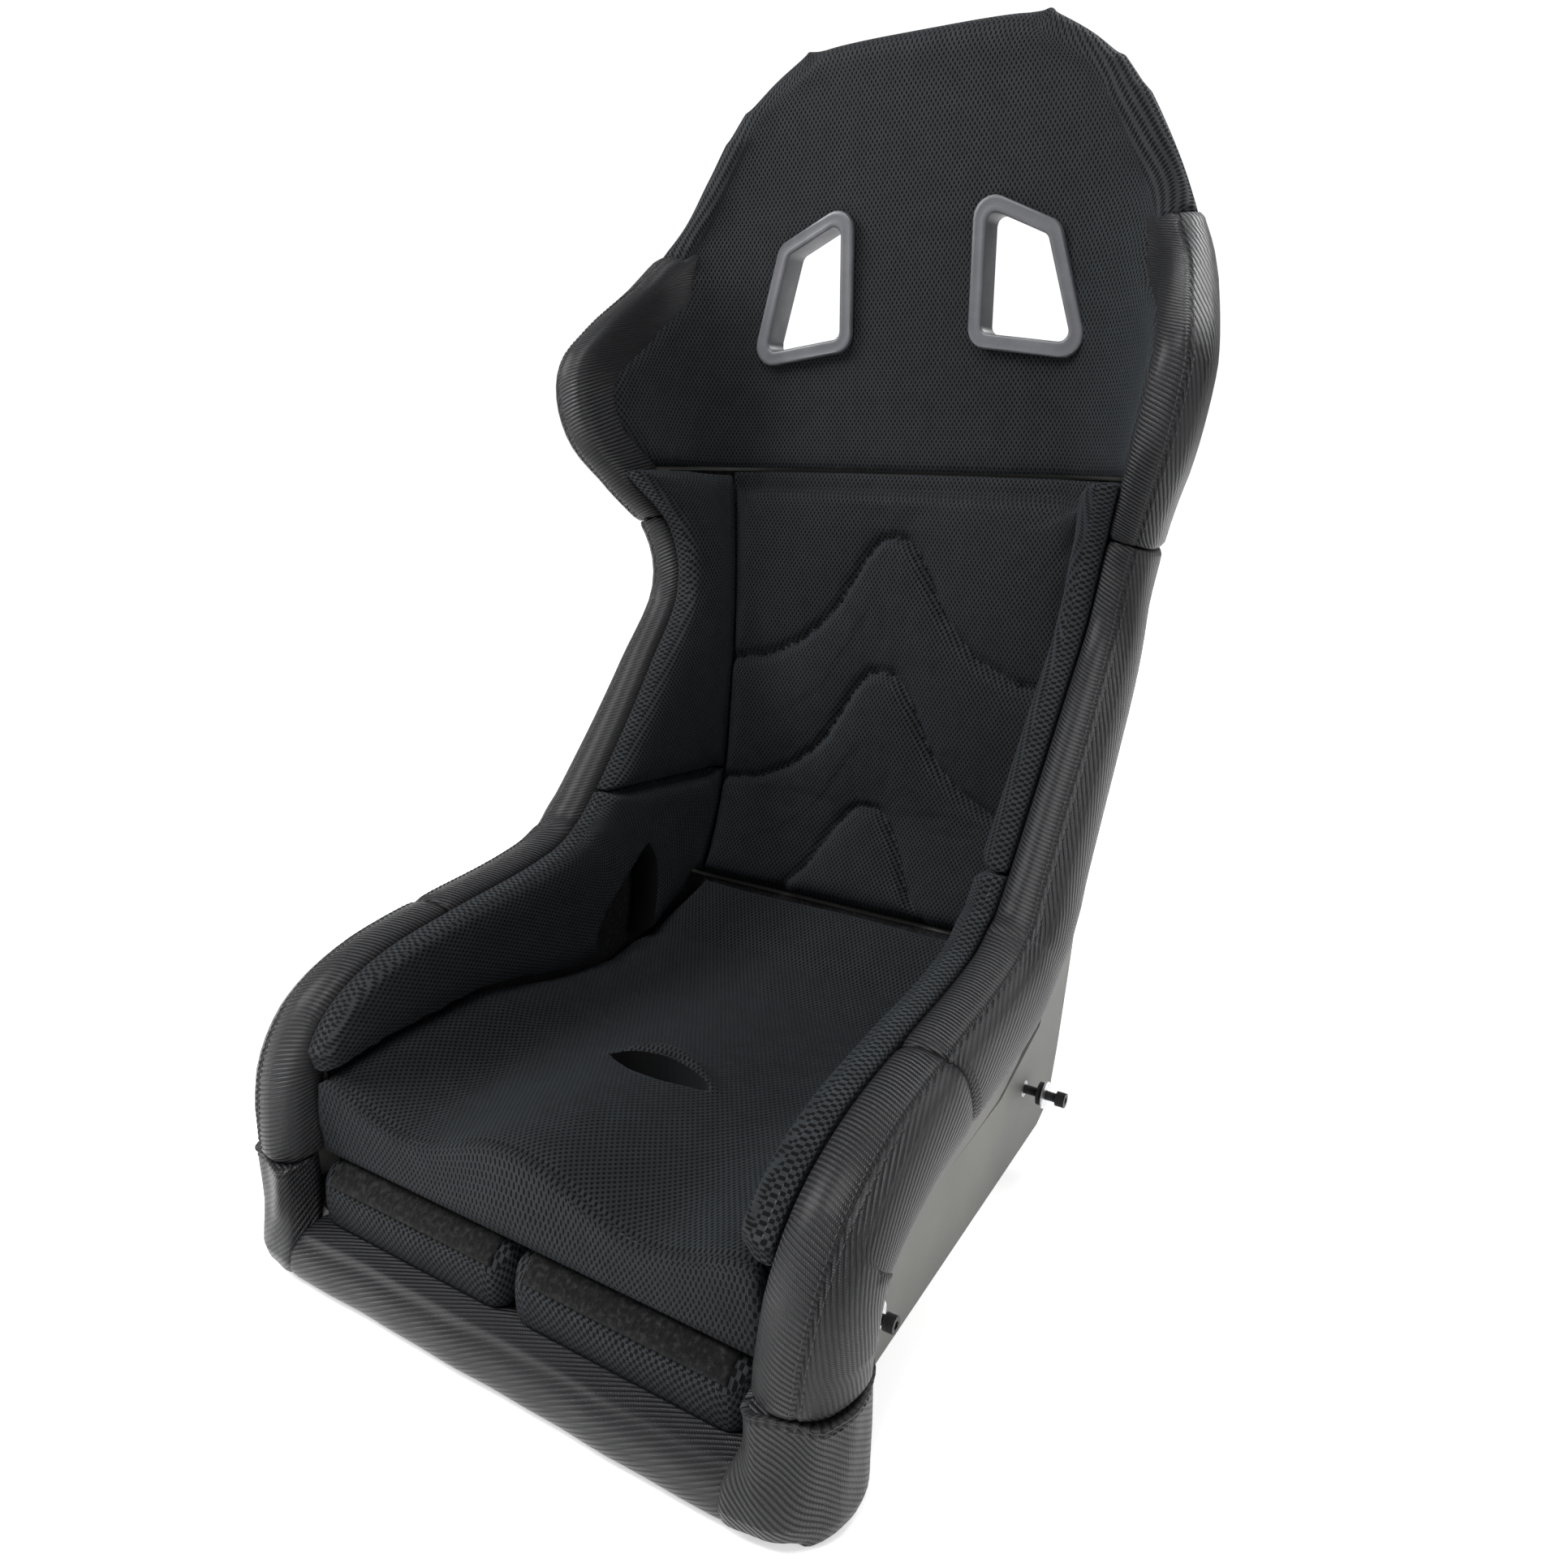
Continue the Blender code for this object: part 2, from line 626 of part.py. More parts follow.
CORNER_TOP = 0.0900
START_HEIGHTS = (CORNER_TOP + GAP, 0.098)
thigh_rings = [front_edge_ring(z) for z in START_HEIGHTS]
thigh_rings += [rising_ring(s) for s in (0.5, 1.0, 1.5)]
rolls = (("thigh_roll", thigh_rings, (2.0, MID_SEAM)),
         ("torso_roll", [], (MID_SEAM + 0.03, UPPER_SEAM)),
         ("shoulder_roll", [], (UPPER_SEAM + 0.04, WING_TOP)))
for name, start, ends in rolls:
    rings = start + [lip_ring(s, roll_at(s)) for s in stations_between(*ends)]
    mesh = loft(f"{name}_right", rings)
    add_object(f"{name}_right", mesh, vinyl)
    add_object(f"{name}_left", mirrored(f"{name}_left", mesh), vinyl)

CORNER_OUTLINE = [(0.1935, -0.3004), (0.1935, -0.3270), (0.2160, -0.3280), (0.2380, -0.3200),
                  (0.2530, -0.3050), (0.2610, -0.2850), (0.2600, -0.2620), (0.2500, -0.2440),
                  (0.2340, -0.2380), (0.2192, -0.2380), (0.2192, -0.3004)]
corner_mesh = prism("corner_roll_right", CORNER_OUTLINE, 0.0015, CORNER_TOP, "Z")
add_object("corner_roll_right", corner_mesh, vinyl)
add_object("corner_roll_left", mirrored("corner_roll_left", corner_mesh), vinyl)

FRONT_OUTLINE = [(-0.3004, 0.0015), (-0.3200, 0.0015), (-0.3270, 0.0080), (-0.3290, 0.0190),
                 (-0.3250, 0.0310), (-0.3170, 0.0380), (-0.3060, 0.0400), (-0.2980, 0.0398),
                 (-0.2980, 0.0352), (-0.3004, 0.0340)]
add_object("front_roll", prism("front_roll", FRONT_OUTLINE, -0.1931, 0.1931, "X"), vinyl)


# ---- head cover ---------------------------------------------------------------------------
mesh_cloth = material("mesh_cloth", MESH_BLACK, 0.90)
HEAD_FOAM = 0.0140


def head_rows(s):
    leg = np.interp(s, ROLL_TABLE[:, 0], ROLL_TABLE[:, 1])
    width = leg + 0.0045 if s < WING_TOP + 0.1 else 0.0210
    return columns(s, lip_length(s) - lip_margin(s, width))


HEAD_END = 24.30
head_mesh = slab("head_cover", stations_between(HEAD_START, HEAD_END, 0.1), head_rows,
                 flat(0.0028), crowned(0.006, HEAD_FOAM, 0.05))
head_cover = add_object("head_cover", head_mesh, mesh_cloth)


def rim_profile():
    inner, crest, back, leg = 0.0120, 0.0120, 0.0165, 0.0140
    w0, w1, slot = -2.3 * SLOT_GAP, WALL + 2.3 * SLOT_GAP, 1.5 * SLOT_GAP
    return [(-leg, w0), (-leg, -inner), (0.002, -inner), (crest * 0.75, -inner * 0.4),
            (crest, 0.004), (crest * 0.75, 0.011), (0.0, back), (-leg * 1.6, 0.012),
            (-leg * 1.6, w1), (-leg, w1), (-leg * 0.4, w1), (slot, w1), (slot, w0)]


def rim_rings():
    """Up the right edge of the head, over its top and down the left edge."""
    profile = rim_profile()
    half = [lip_ring(s, profile) for s in stations_between(WING_TOP + 0.04, LAST_ROW - 0.5)]
    top = []
    for share in np.linspace(0.88, 0.0, 5):
        d = share * lip_length(LAST_ROW)
        upward = point(LAST_ROW, d) - point(LAST_ROW - 0.3, d)
        upward = upward / np.linalg.norm(upward)
        top.append((point(LAST_ROW, d) + 0.0022 * upward, upward, -normal(LAST_ROW, d)))
    side = point(LAST_ROW, lip_length(LAST_ROW)) - point(LAST_ROW, lip_length(LAST_ROW) - 0.01)
    outward = side / np.linalg.norm(side) + top[0][1]
    clear_corner = point(LAST_ROW, lip_length(LAST_ROW)) + 0.0036 * outward
    half.append(frame_ring((clear_corner, outward * 0.80, top[0][2]), profile))
    half += [frame_ring(frame, profile) for frame in top]
    flip = np.array((-1.0, 1.0, 1.0))
    return half + [[flip * spot for spot in ring] for ring in half[-2::-1]]


add_object("head_rim_cover", loft("head_rim_cover", rim_rings()), mesh_cloth)


# ---- harness bezels -----------------------------------------------------------------------
plastic = material("bezel_plastic", PLASTIC_DARK, 0.45)
SLEEVE = 0.0024
REAR_FACE_Y = 0.3225
for side, outline in zip(("right", "left"), both_sides(HARNESS_HOLE)):
    inner = rounded(outline, HARNESS_CORNER - 0.002)
    sleeve = rounded(grown(outline, SLEEVE), HARNESS_CORNER)
    flange = rounded(grown(outline, BEZEL_WIDTH), HARNESS_CORNER + 0.008)
    pocket = rounded(grown(outline, BEZEL_WIDTH + 0.0006), HARNESS_CORNER + 0.008)
    front = prism("ring", [flange, inner], BEZEL_FACE_Y, BEZEL_FACE_Y + 0.0050, "Y")
    tube = prism("tube", [sleeve, inner], BEZEL_FACE_Y + 0.0040, 0.3150, "Y")
    bezel = add_object(f"harness_bezel_{side}", front, plastic)
    cut(bezel, add_cutter(f"harness_tube_{side}", tube), "UNION")
    rear = prism("rear_ring", [flange, rounded(grown(outline, SLEEVE + 0.0005), HARNESS_CORNER)],
                 REAR_FACE_Y - 0.0045, REAR_FACE_Y, "Y")
    add_object(f"harness_bezel_rear_{side}", rear, plastic)
    cut(head_cover, add_cutter(f"bezel_pocket_{side}",
                               prism("cut", pocket, 0.20, BEZEL_FACE_Y + 0.0055, "Y")))
    through = rounded(grown(outline, SLEEVE + 0.0004), HARNESS_CORNER)
    cut(head_cover, add_cutter(f"bezel_through_{side}",
                               prism("cut", through, 0.20, 0.36, "Y")))


# ---- belt slot bezels ---------------------------------------------------------------------
def slot_bezel(name, centre, length, width, angle, axis, faces, sign=1):
    """Oval ring on the driver's side of a slot, with a short sleeve through the laminate."""
    inner = stadium(*centre, length - 0.0056, width - 0.0056, angle)
    sleeve = stadium(*centre, length - 0.0010, width - 0.0010, angle)
    flange = stadium(*centre, length + 0.0160, width + 0.0160, angle)
    top, seat, end = (sign * f for f in faces)
    obj = add_object(name, prism("ring", [flange, inner], top, seat, axis), plastic)
    overlap = seat + (top - seat) * 0.3
    cut(obj, add_cutter(name + "_sleeve", prism("tube", [sleeve, inner], overlap, end, axis)),
        "UNION")
    return obj


for side, sign in (("right", 1), ("left", -1)):
    slot_bezel(f"lap_bezel_{side}", (lap["y"], lap["z"]), lap["length"], lap["width"],
               lap["angle"], "X", (0.2092, 0.2124, 0.2225), sign)
slot_bezel("crotch_bezel", (0.0, crotch["y"]), crotch["length"], crotch["width"], 0.0, "Z",
           (0.0430, 0.0395, 0.0290))
ring = stadium(0.0, crotch["y"], crotch["length"] + 0.018, crotch["width"] + 0.018, 0.0)
cut(pan_lining, add_cutter("crotch_ring_cut", prism("cut", ring, 0.015, 0.060, "Z")))


# ---- cushions -----------------------------------------------------------------------------
CUSHION_Y = (-0.292, -0.220, -0.125, -0.030, 0.050, 0.110, 0.150, 0.187)
CENTRE_Z = (0.164, 0.158, 0.140, 0.124, 0.116, 0.124, 0.142, 0.158)
HOLLOW_Z = (0.134, 0.132, 0.128, 0.120, 0.114, 0.122, 0.140, 0.157)
EDGE_Z = (0.155, 0.158, 0.155, 0.130, 0.114, 0.122, 0.142, 0.158)
HOLLOW_X = 0.108


def cushion_top(x, y):
    """Height of the cushion: a ridge at the front centre, two leg hollows and raised edges."""
    centre, hollow, edge = (np.interp(y, CUSHION_Y, z) for z in (CENTRE_Z, HOLLOW_Z, EDGE_Z))
    if abs(x) < HOLLOW_X:
        share = 0.5 - 0.5 * math.cos(math.pi * abs(x) / HOLLOW_X)
        return centre + (hollow - centre) * share
    share = 0.5 - 0.5 * math.cos(math.pi * (abs(x) - HOLLOW_X) / (CUSHION_HALF - HOLLOW_X))
    return hollow + (edge - hollow) * share


STEP_Y = THIGH_PAD["y1"] + 0.004
THIGH_TOP = THIGH_PAD["z1"] + GAP + LOOP_THICK + GAP


def cushion_half(y):
    """Half width of the cushion, narrower where the pan turns up into the back."""
    return np.interp(y, (0.090, CUSHION_REAR), (CUSHION_HALF, 0.168))


def cushion_bottom(x, y):
    """Flat over the thigh pads, then down to just above the pan's lining and its bends."""
    if y < STEP_Y:
        return THIGH_TOP
    floor = np.interp(y, (-0.166, 0.0, 0.06, 0.12, 0.168, 0.187),
                      (0.046, 0.049, 0.056, 0.078, 0.116, 0.140))
    rise = max(0.0, abs(x) - 0.140) / (cushion_half(y) - 0.140)
    return floor + np.interp(y, (0.090, CUSHION_REAR), (0.040, 0.010)) * rise ** 2


def seat_cushion_mesh():
    ys = np.array([-0.292, -0.287, -0.265, -0.220, -0.1665, -0.1655, -0.125, -0.080, -0.030,
                   0.010, 0.050, 0.080, 0.110, 0.135, 0.160, 0.180, 0.187])
    shares = np.array([-1, -0.97, -0.88, -0.75, -0.64, -0.55, -0.44, -0.33, -0.22,
                                  -0.11, 0, 0.11, 0.22, 0.33, 0.44, 0.55, 0.64, 0.75, 0.88,
                                  0.97, 1])
    verts = []
    for top in (False, True):
        for y in ys:
            for x in cushion_half(y) * shares:
                edge = min(cushion_half(y) - abs(x), y - ys[0], ys[-1] - y)
                drop = 0.006 * max(0.0, 1 - edge / 0.005)
                low = cushion_bottom(x, y)
                z = max(cushion_top(x, y) - drop, low + 0.006) if top else low
                verts.append((x, y, z))
    rows, cols = len(ys), len(shares)
    layer = rows * cols
    faces = []
    for i in range(rows - 1):
        for j in range(cols - 1):
            a = i * cols + j
            quad = (a, a + 1, a + cols + 1, a + cols)
            faces += [quad[::-1], tuple(v + layer for v in quad)]
    rim = list(range(cols)) + [i * cols + cols - 1 for i in range(1, rows)]
    rim += [(rows - 1) * cols + j for j in range(cols - 2, -1, -1)]
    rim += [i * cols for i in range(rows - 2, 0, -1)]
    faces += [(a, b, b + layer, a + layer) for a, b in zip(rim, rim[1:] + rim[:1])]
    return mesh_from("seat_cushion", verts, faces)


seat_cushion = add_object("seat_cushion", seat_cushion_mesh(), mesh_cloth)
strap_hole = stadium(0.0, crotch["y"], crotch["length"] + 0.022, crotch["width"] + 0.020, 0.0)
cut(seat_cushion, add_cutter("strap_hole", prism("cut", strap_hole, 0.02, 0.20, "Z")))

BACK_FOAM = 0.0290


def back_half(s):
    """Half width of the back cushion, measured along the shell."""
    return np.interp(s, (9.0, 13.0, 16.0), (0.184, 0.187, 0.200))


def back_rows(s):
    return columns(s, back_half(s))


back_cushion = slab("back_cushion", stations_between(BACK_BOTTOM, BACK_TOP, 0.12), back_rows,
                    flat(LINING + 0.0012), crowned(0.005, BACK_FOAM, 0.05))
add_object("back_cushion", back_cushion, mesh_cloth)


# ---- wall pads ----------------------------------------------------------------------------
PAD_BACK, PAD_FACE = 0.0115, 0.0375


def torso_rows(s):
    start = back_half(s) + 0.0030
    stop = lip_length(s) + 0.006
    return start + (stop - start) * eased(7, 0.10)


def hip_rows(s):
    """From just above the seat cushion up to the top of the roll."""
    stop = lip_length(s) + 0.006
    start = max(back_half(s) + 0.0030 if s > 8.0 else 0.0, section(s)[2][0])
    for d in np.linspace(start, stop, 120):
        spots = [off(s, d, height) for height in (PAD_BACK, PAD_FACE)]
        if all(z > np.interp(y, CUSHION_Y, EDGE_Z) + 0.004 for _, y, z in spots):
            break
    return d + (stop - d) * eased(7, 0.10)


torso = slab("torso_pad_right", stations_between(TORSO_START, 16.1, 0.12), torso_rows,
             flat(PAD_BACK), crowned(PAD_BACK, PAD_FACE, 0.09))
hip = slab("hip_pad_right", stations_between(1.25, HIP_END, 0.12), hip_rows, flat(PAD_BACK),
           crowned(PAD_BACK, PAD_FACE, 0.06))
notch = stadium(lap["y"], lap["z"], lap["length"] + 0.012, lap["width"] + 0.008, lap["angle"])
for side, sign in (("right", 1), ("left", -1)):
    torso_mesh = torso if sign > 0 else mirrored("torso_pad_left", torso)
    hip_mesh = hip if sign > 0 else mirrored("hip_pad_left", hip)
    add_object(f"torso_pad_{side}", torso_mesh, mesh_cloth)
    hip_pad = add_object(f"hip_pad_{side}", hip_mesh, mesh_cloth)
    cut(hip_pad, add_cutter(f"hip_notch_{side}",
                            prism("cut", notch, sign * 0.15, sign * 0.24, "X")))


# ---- thigh pads ---------------------------------------------------------------------------
loop_cloth = material("loop_cloth", LOOP_BLACK, 1.0)
pad = THIGH_PAD


def bevelled(obj, width, segments=2, angle=40):
    mod = obj.modifiers.new("rounded_edges", "BEVEL")
    mod.width = width
    mod.segments = segments
    mod.limit_method = "ANGLE"
    mod.angle_limit = math.radians(angle)


for side, sign in (("right", 1), ("left", -1)):
    x0, x1 = sorted((sign * pad["x0"], sign * pad["x1"]))
    body = add_object(f"thigh_pad_{side}", box("thigh_pad", (x0, pad["y0"], pad["z0"]),
                                               (x1, pad["y1"], pad["z1"])), mesh_cloth)
    bevelled(body, 0.009, 3)
    low = pad["z1"] + GAP
    loop = box("thigh_loop", (x0 + 0.009, pad["y0"] + 0.009, low),
               (x1 - 0.009, pad["y1"] - 0.009, low + LOOP_THICK))
    add_object(f"thigh_loop_{side}", loop, loop_cloth)


# ---- hook strips --------------------------------------------------------------------------
hook_mat = material("hook_tape", BLACK_OXIDE, 0.8)


def strip_rows(s):
    return np.array((0.072, 0.085, 0.098))


strip = slab("pan_hook_strip", stations_between(4.1, 5.6), strip_rows, flat(LINING + GAP),
             flat(LINING + GAP + 0.0008))
add_object("pan_hook_strip_right", strip, hook_mat)
add_object("pan_hook_strip_left", mirrored("pan_hook_strip_left", strip), hook_mat)


# ---- mounting hardware --------------------------------------------------------------------
steel = material("insert_steel", (0.45, 0.45, 0.46), 0.40, 1.0)
oxide = material("black_oxide", BLACK_OXIDE, 0.38, 0.9)
zinc = material("zinc_plate", ZINC, 0.30, 1.0)
rubber = material("rubber_washer", (0.02, 0.02, 0.02), 0.80)

M8 = 0.0080
HEAD_RADIUS, HEAD_HEIGHT = 0.0065, 0.0080


def socket_screw(name, length, location, sign):
    """Socket cap screw lying along X: its head points outwards on the given side."""
    turn = Matrix.Rotation(0 if sign > 0 else math.pi, 4, "Z")
    head = cylinder(HEAD_RADIUS, HEAD_HEIGHT, 28)
    head.transform(turn)
    obj = add_object(name, head, oxide, location)
    shank_mesh = cylinder(M8 / 2, length + 0.002, 20)
    shank_mesh.transform(turn @ Matrix.Translation((-length, 0, 0)))
    shank = add_cutter(name + "_shank", shank_mesh)
    shank.location = location
    cut(obj, shank, "UNION")
    hexagon = cylinder(0.0035, 0.006, 6)
    hexagon.transform(turn @ Matrix.Translation((HEAD_HEIGHT - 0.004, 0, 0)))
    socket = add_cutter(name + "_socket", hexagon)
    socket.location = location
    cut(obj, socket)


def washer(inner, outer, thick):
    return lathe([(0.0, inner), (0.0, outer), (thick, outer), (thick, inner)], 24)


FRONT_STAND_OFF, REAR_STAND_OFF = 0.0075, 0.0290
for side, sign in (("right", 1), ("left", -1)):
    for label, spot in (("front", FRONT_SCREW), ("rear", REAR_SCREW)):
        depth = FLANK_X - INSERT_INNER_X
        insert = lathe([(0.0, M8 / 2 + 0.0004), (0.0, INSERT_RADIUS), (depth, INSERT_RADIUS),
                        (depth, M8 / 2 + 0.0004)], 28)
        add_object(f"threaded_insert_{label}_{side}", insert, steel,
                   (INSERT_INNER_X if sign > 0 else -FLANK_X, *spot))
    front_x = sign * (FLANK_X + FRONT_STAND_OFF)
    rear_x = sign * (FLANK_X + REAR_STAND_OFF)
    socket_screw(f"front_screw_{side}", 0.0155, (front_x, *FRONT_SCREW), sign)
    socket_screw(f"rear_screw_{side}", 0.0340, (rear_x, *REAR_SCREW), sign)
    plain = washer(M8 / 2 + 0.0004, 0.0120, 0.0016)
    soft = washer(M8 / 2 + 0.0006, 0.0100, 0.0030)
    first = FLANK_X + 0.0006 if sign > 0 else -FLANK_X - 0.0006 - 0.0016
    add_object(f"front_washer_{side}", plain.copy(), zinc, (first, *FRONT_SCREW))
    loose = FLANK_X + 0.0180 if sign > 0 else -FLANK_X - 0.0180 - 0.0016
    add_object(f"rear_washer_{side}", plain.copy(), zinc, (loose, *REAR_SCREW))
    inner_washer = FLANK_X + 0.0130 if sign > 0 else -FLANK_X - 0.0130 - 0.0030
    add_object(f"rear_rubber_washer_{side}", soft.copy(), rubber, (inner_washer, *REAR_SCREW))

for obj in [*parts.objects, *cutters.objects]:
    obj.location.y += Y_SHIFT
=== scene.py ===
"""Looks of a fixed-back racing bucket seat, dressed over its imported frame.

Metres, +Z up, the driver faces -Y and the seat is mirrored about X = 0.
"""

import math

import bmesh
import bpy
import numpy as np
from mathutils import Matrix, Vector


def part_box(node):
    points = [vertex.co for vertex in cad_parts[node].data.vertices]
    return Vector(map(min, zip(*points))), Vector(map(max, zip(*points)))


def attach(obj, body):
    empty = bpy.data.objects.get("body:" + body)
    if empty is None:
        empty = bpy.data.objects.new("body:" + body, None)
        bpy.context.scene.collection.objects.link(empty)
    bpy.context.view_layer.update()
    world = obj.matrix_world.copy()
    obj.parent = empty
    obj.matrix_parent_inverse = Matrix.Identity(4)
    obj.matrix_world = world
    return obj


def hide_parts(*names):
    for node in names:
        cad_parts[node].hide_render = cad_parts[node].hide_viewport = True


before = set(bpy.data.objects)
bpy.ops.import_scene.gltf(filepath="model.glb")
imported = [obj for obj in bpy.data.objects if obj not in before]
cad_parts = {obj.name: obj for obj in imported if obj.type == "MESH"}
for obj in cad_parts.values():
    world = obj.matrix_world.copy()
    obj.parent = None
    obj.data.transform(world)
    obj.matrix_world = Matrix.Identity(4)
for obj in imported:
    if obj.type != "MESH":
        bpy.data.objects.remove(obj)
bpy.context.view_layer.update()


# ---- Studio --------------------------------------------------------------------------------
# A pale floor with a painted glow, which also lights the seat from below, and soft daylight from
# large windows at the left and overhead; the camera stands to the seat's right at the height of its
# shoulders, with a wide lens.
LENS, SENSOR = 26.14, 36.0
CAMERA_PLACE = (0.4901, -0.7390, 0.6265)
CAMERA_BACK = (0.4964, -0.8140, 0.3030)

camera_data = bpy.data.cameras.new("studio_camera")
camera_data.lens = LENS
camera_data.sensor_width = SENSOR
camera_data.shift_x = 0.0021
camera_data.shift_y = -0.0014
camera_data.clip_start = 0.02
camera = bpy.data.objects.new("studio_camera", camera_data)
camera.location = CAMERA_PLACE
camera.rotation_euler = Vector(CAMERA_BACK).to_track_quat("Z", "Y").to_euler()
bpy.context.scene.collection.objects.link(camera)
bpy.context.scene.camera = camera
bpy.context.scene.view_settings.view_transform = "Standard"


def fill_inputs(tree, node, values):
    """Sets a node's inputs (_ for a space) to numbers or colours, or links sockets to them."""
    for label, value in values.items():
        socket = node.inputs[label.replace("_", " ")]
        if isinstance(value, bpy.types.NodeSocket):
            tree.links.new(value, socket)
        elif socket.type == "RGBA":
            socket.default_value = (*value, 1.0)
        else:
            socket.default_value = value
    return node


def add_node(tree, kind, **values):
    return fill_inputs(tree, tree.nodes.new("ShaderNode" + kind), values)


def start_finish(name, colour, roughness, **values):
    """Principled material of one colour, with its node tree and its shader."""
    mat = bpy.data.materials.new(name)
    mat.use_nodes = True
    shader = mat.node_tree.nodes["Principled BSDF"]
    fill_inputs(mat.node_tree, shader, {"Base_Color": colour, "Roughness": roughness, **values})
    return mat, mat.node_tree, shader


def studio_floor():
    """Pale floor with a painted glow: it emits light, more strongly away from the seat until it
    meets the white room, and so lights the seat from below.
    """
    bm = bmesh.new()
    bmesh.ops.create_grid(bm, x_segments=8, y_segments=8, size=7.0)
    mesh = bpy.data.meshes.new("studio_floor")
    bm.to_mesh(mesh)
    bm.free()
    paint, tree, shader = start_finish("glowing_pale_floor", (0.86, 0.86, 0.86), 0.85,
                                       Emission_Color=(1.0, 1.0, 1.0))
    # Painted glow: the floor's emission strength grows from 0.52 near the seat to 1.05 far from it.
    reach = add_node(tree, "VectorMath", Vector=add_node(tree, "TexCoord").outputs["Object"])
    reach.operation = "LENGTH"
    floor_glow = add_node(tree, "MapRange", Value=reach.outputs["Value"], From_Min=0.45, From_Max=1.6,
                    To_Min=0.52, To_Max=1.05)
    tree.links.new(floor_glow.outputs["Result"], shader.inputs["Emission Strength"])
    mesh.materials.append(paint)
    floor = bpy.data.objects.new("studio_floor", mesh)
    floor.location.z = -0.0006
    bpy.context.scene.collection.objects.link(floor)


def softbox(name, place, target, size, power):
    light_data = bpy.data.lights.new(name, "AREA")
    light_data.size = size
    light_data.energy = power
    light = bpy.data.objects.new(name, light_data)
    light.location = place
    aim = Vector(place) - Vector(target)
    light.rotation_euler = aim.to_track_quat("Z", "Y").to_euler()
    bpy.context.scene.collection.objects.link(light)


studio_floor()
softbox("window_left", (-1.7, -0.9, 2.0), (0.0, 0.0, 0.5), 1.1, 92)
softbox("window_behind", (0.9, 1.9, 2.3), (0.1, 0.1, 0.5), 1.2, 40)
softbox("ceiling", (0.1, -0.9, 2.6), (0.0, 0.0, 0.4), 1.1, 56)
softbox("window_right", (2.4, -0.6, 1.3), (0.1, 0.0, 0.4), 1.2, 14)
world = bpy.data.worlds.new("pale_room")
world.use_nodes = True
seen = add_node(world.node_tree, "LightPath").outputs["Is Camera Ray"]
glow = add_node(world.node_tree, "MapRange", Value=seen, To_Min=0.26, To_Max=1.05)
fill_inputs(world.node_tree, world.node_tree.nodes["Background"],
            {"Color": (1.0, 1.0, 1.0), "Strength": glow.outputs["Result"]})
bpy.context.scene.world = world


# ---- Moulded shell -------------------------------------------------------------------------
# One glass-fibre laminate, 5.5 mm thick, with a matt grey gelcoat; its flat flanks carry the
# mounting screws and stand on the floor.  Every trim piece follows the shell's inner surface,
# which is described by rows from the pan's front lip to the top of the head:
# spine Y, spine Z, corner X, bend width, bend height, lip X, lip Y, lip Z.
WALL = 0.0055
SEAT_SHIFT = 0.0028
SHELL_ROWS = np.array([
    (-0.296, 0.034, 0.209, 0.026, 0.026, 0.213, -0.297, 0.112),
    (-0.265, 0.034, 0.209, 0.026, 0.026, 0.216, -0.288, 0.158),
    (-0.220, 0.035, 0.209, 0.026, 0.026, 0.218, -0.258, 0.195),
    (-0.160, 0.036, 0.209, 0.028, 0.028, 0.219, -0.205, 0.217),
    (-0.090, 0.037, 0.209, 0.036, 0.036, 0.219, -0.130, 0.226),
    (-0.010, 0.040, 0.209, 0.045, 0.045, 0.219, -0.055, 0.231),
    (0.060, 0.047, 0.209, 0.045, 0.045, 0.219, -0.010, 0.237),
    (0.120, 0.066, 0.209, 0.045, 0.045, 0.219, 0.010, 0.243),
    (0.168, 0.103, 0.209, 0.044, 0.044, 0.219, 0.024, 0.250),
    (0.208, 0.156, 0.211, 0.045, 0.045, 0.220, 0.036, 0.257),
    (0.240, 0.212, 0.213, 0.045, 0.045, 0.220, 0.047, 0.267),
    (0.258, 0.262, 0.214, 0.045, 0.045, 0.220, 0.064, 0.284),
    (0.270, 0.325, 0.214, 0.045, 0.045, 0.220, 0.110, 0.334),
    (0.281, 0.395, 0.214, 0.045, 0.045, 0.221, 0.160, 0.392),
    (0.292, 0.460, 0.215, 0.045, 0.045, 0.223, 0.212, 0.458),
    (0.300, 0.515, 0.219, 0.048, 0.048, 0.232, 0.214, 0.520),
    (0.306, 0.565, 0.221, 0.065, 0.065, 0.250, 0.176, 0.570),
    (0.310, 0.615, 0.229, 0.085, 0.085, 0.268, 0.143, 0.618),
    (0.311, 0.665, 0.234, 0.100, 0.095, 0.275, 0.143, 0.668),
    (0.311, 0.710, 0.232, 0.110, 0.090, 0.268, 0.180, 0.708),
    (0.311, 0.755, 0.224, 0.115, 0.070, 0.254, 0.238, 0.752),
    (0.311, 0.800, 0.208, 0.115, 0.034, 0.232, 0.275, 0.798),
    (0.311, 0.845, 0.185, 0.110, 0.022, 0.208, 0.287, 0.843),
    (0.310, 0.885, 0.160, 0.100, 0.016, 0.183, 0.292, 0.883),
    (0.309, 0.918, 0.132, 0.085, 0.011, 0.155, 0.296, 0.914),
    (0.307, 0.945, 0.092, 0.060, 0.006, 0.112, 0.300, 0.938),
])
LAST_ROW = len(SHELL_ROWS) - 1
MID_SEAM, UPPER_SEAM, WING_TOP = 3.97, 15.20, 20.35
BEND_SPOTS, BEND_FULLNESS = 33, 0.72


def through_four(p0, p1, p2, p3, t):
    """Smooth curve through four spots, at share t of the way from the second to the third."""
    return 0.5 * (2 * p1 + (p2 - p0) * t + (2 * p0 - 5 * p1 + 4 * p2 - p3) * t ** 2
                  + (3 * p1 - p0 - 3 * p2 + p3) * t ** 3)


def shell_row(s):
    """The shell's rows at row number s, which may lie between two of them."""
    k = min(max(int(math.floor(s)), 0), LAST_ROW - 1)
    near = [SHELL_ROWS[min(max(n, 0), LAST_ROW)] for n in range(k - 1, k + 3)]
    return through_four(*near, s - k)


def unit(v):
    return v / np.linalg.norm(v)


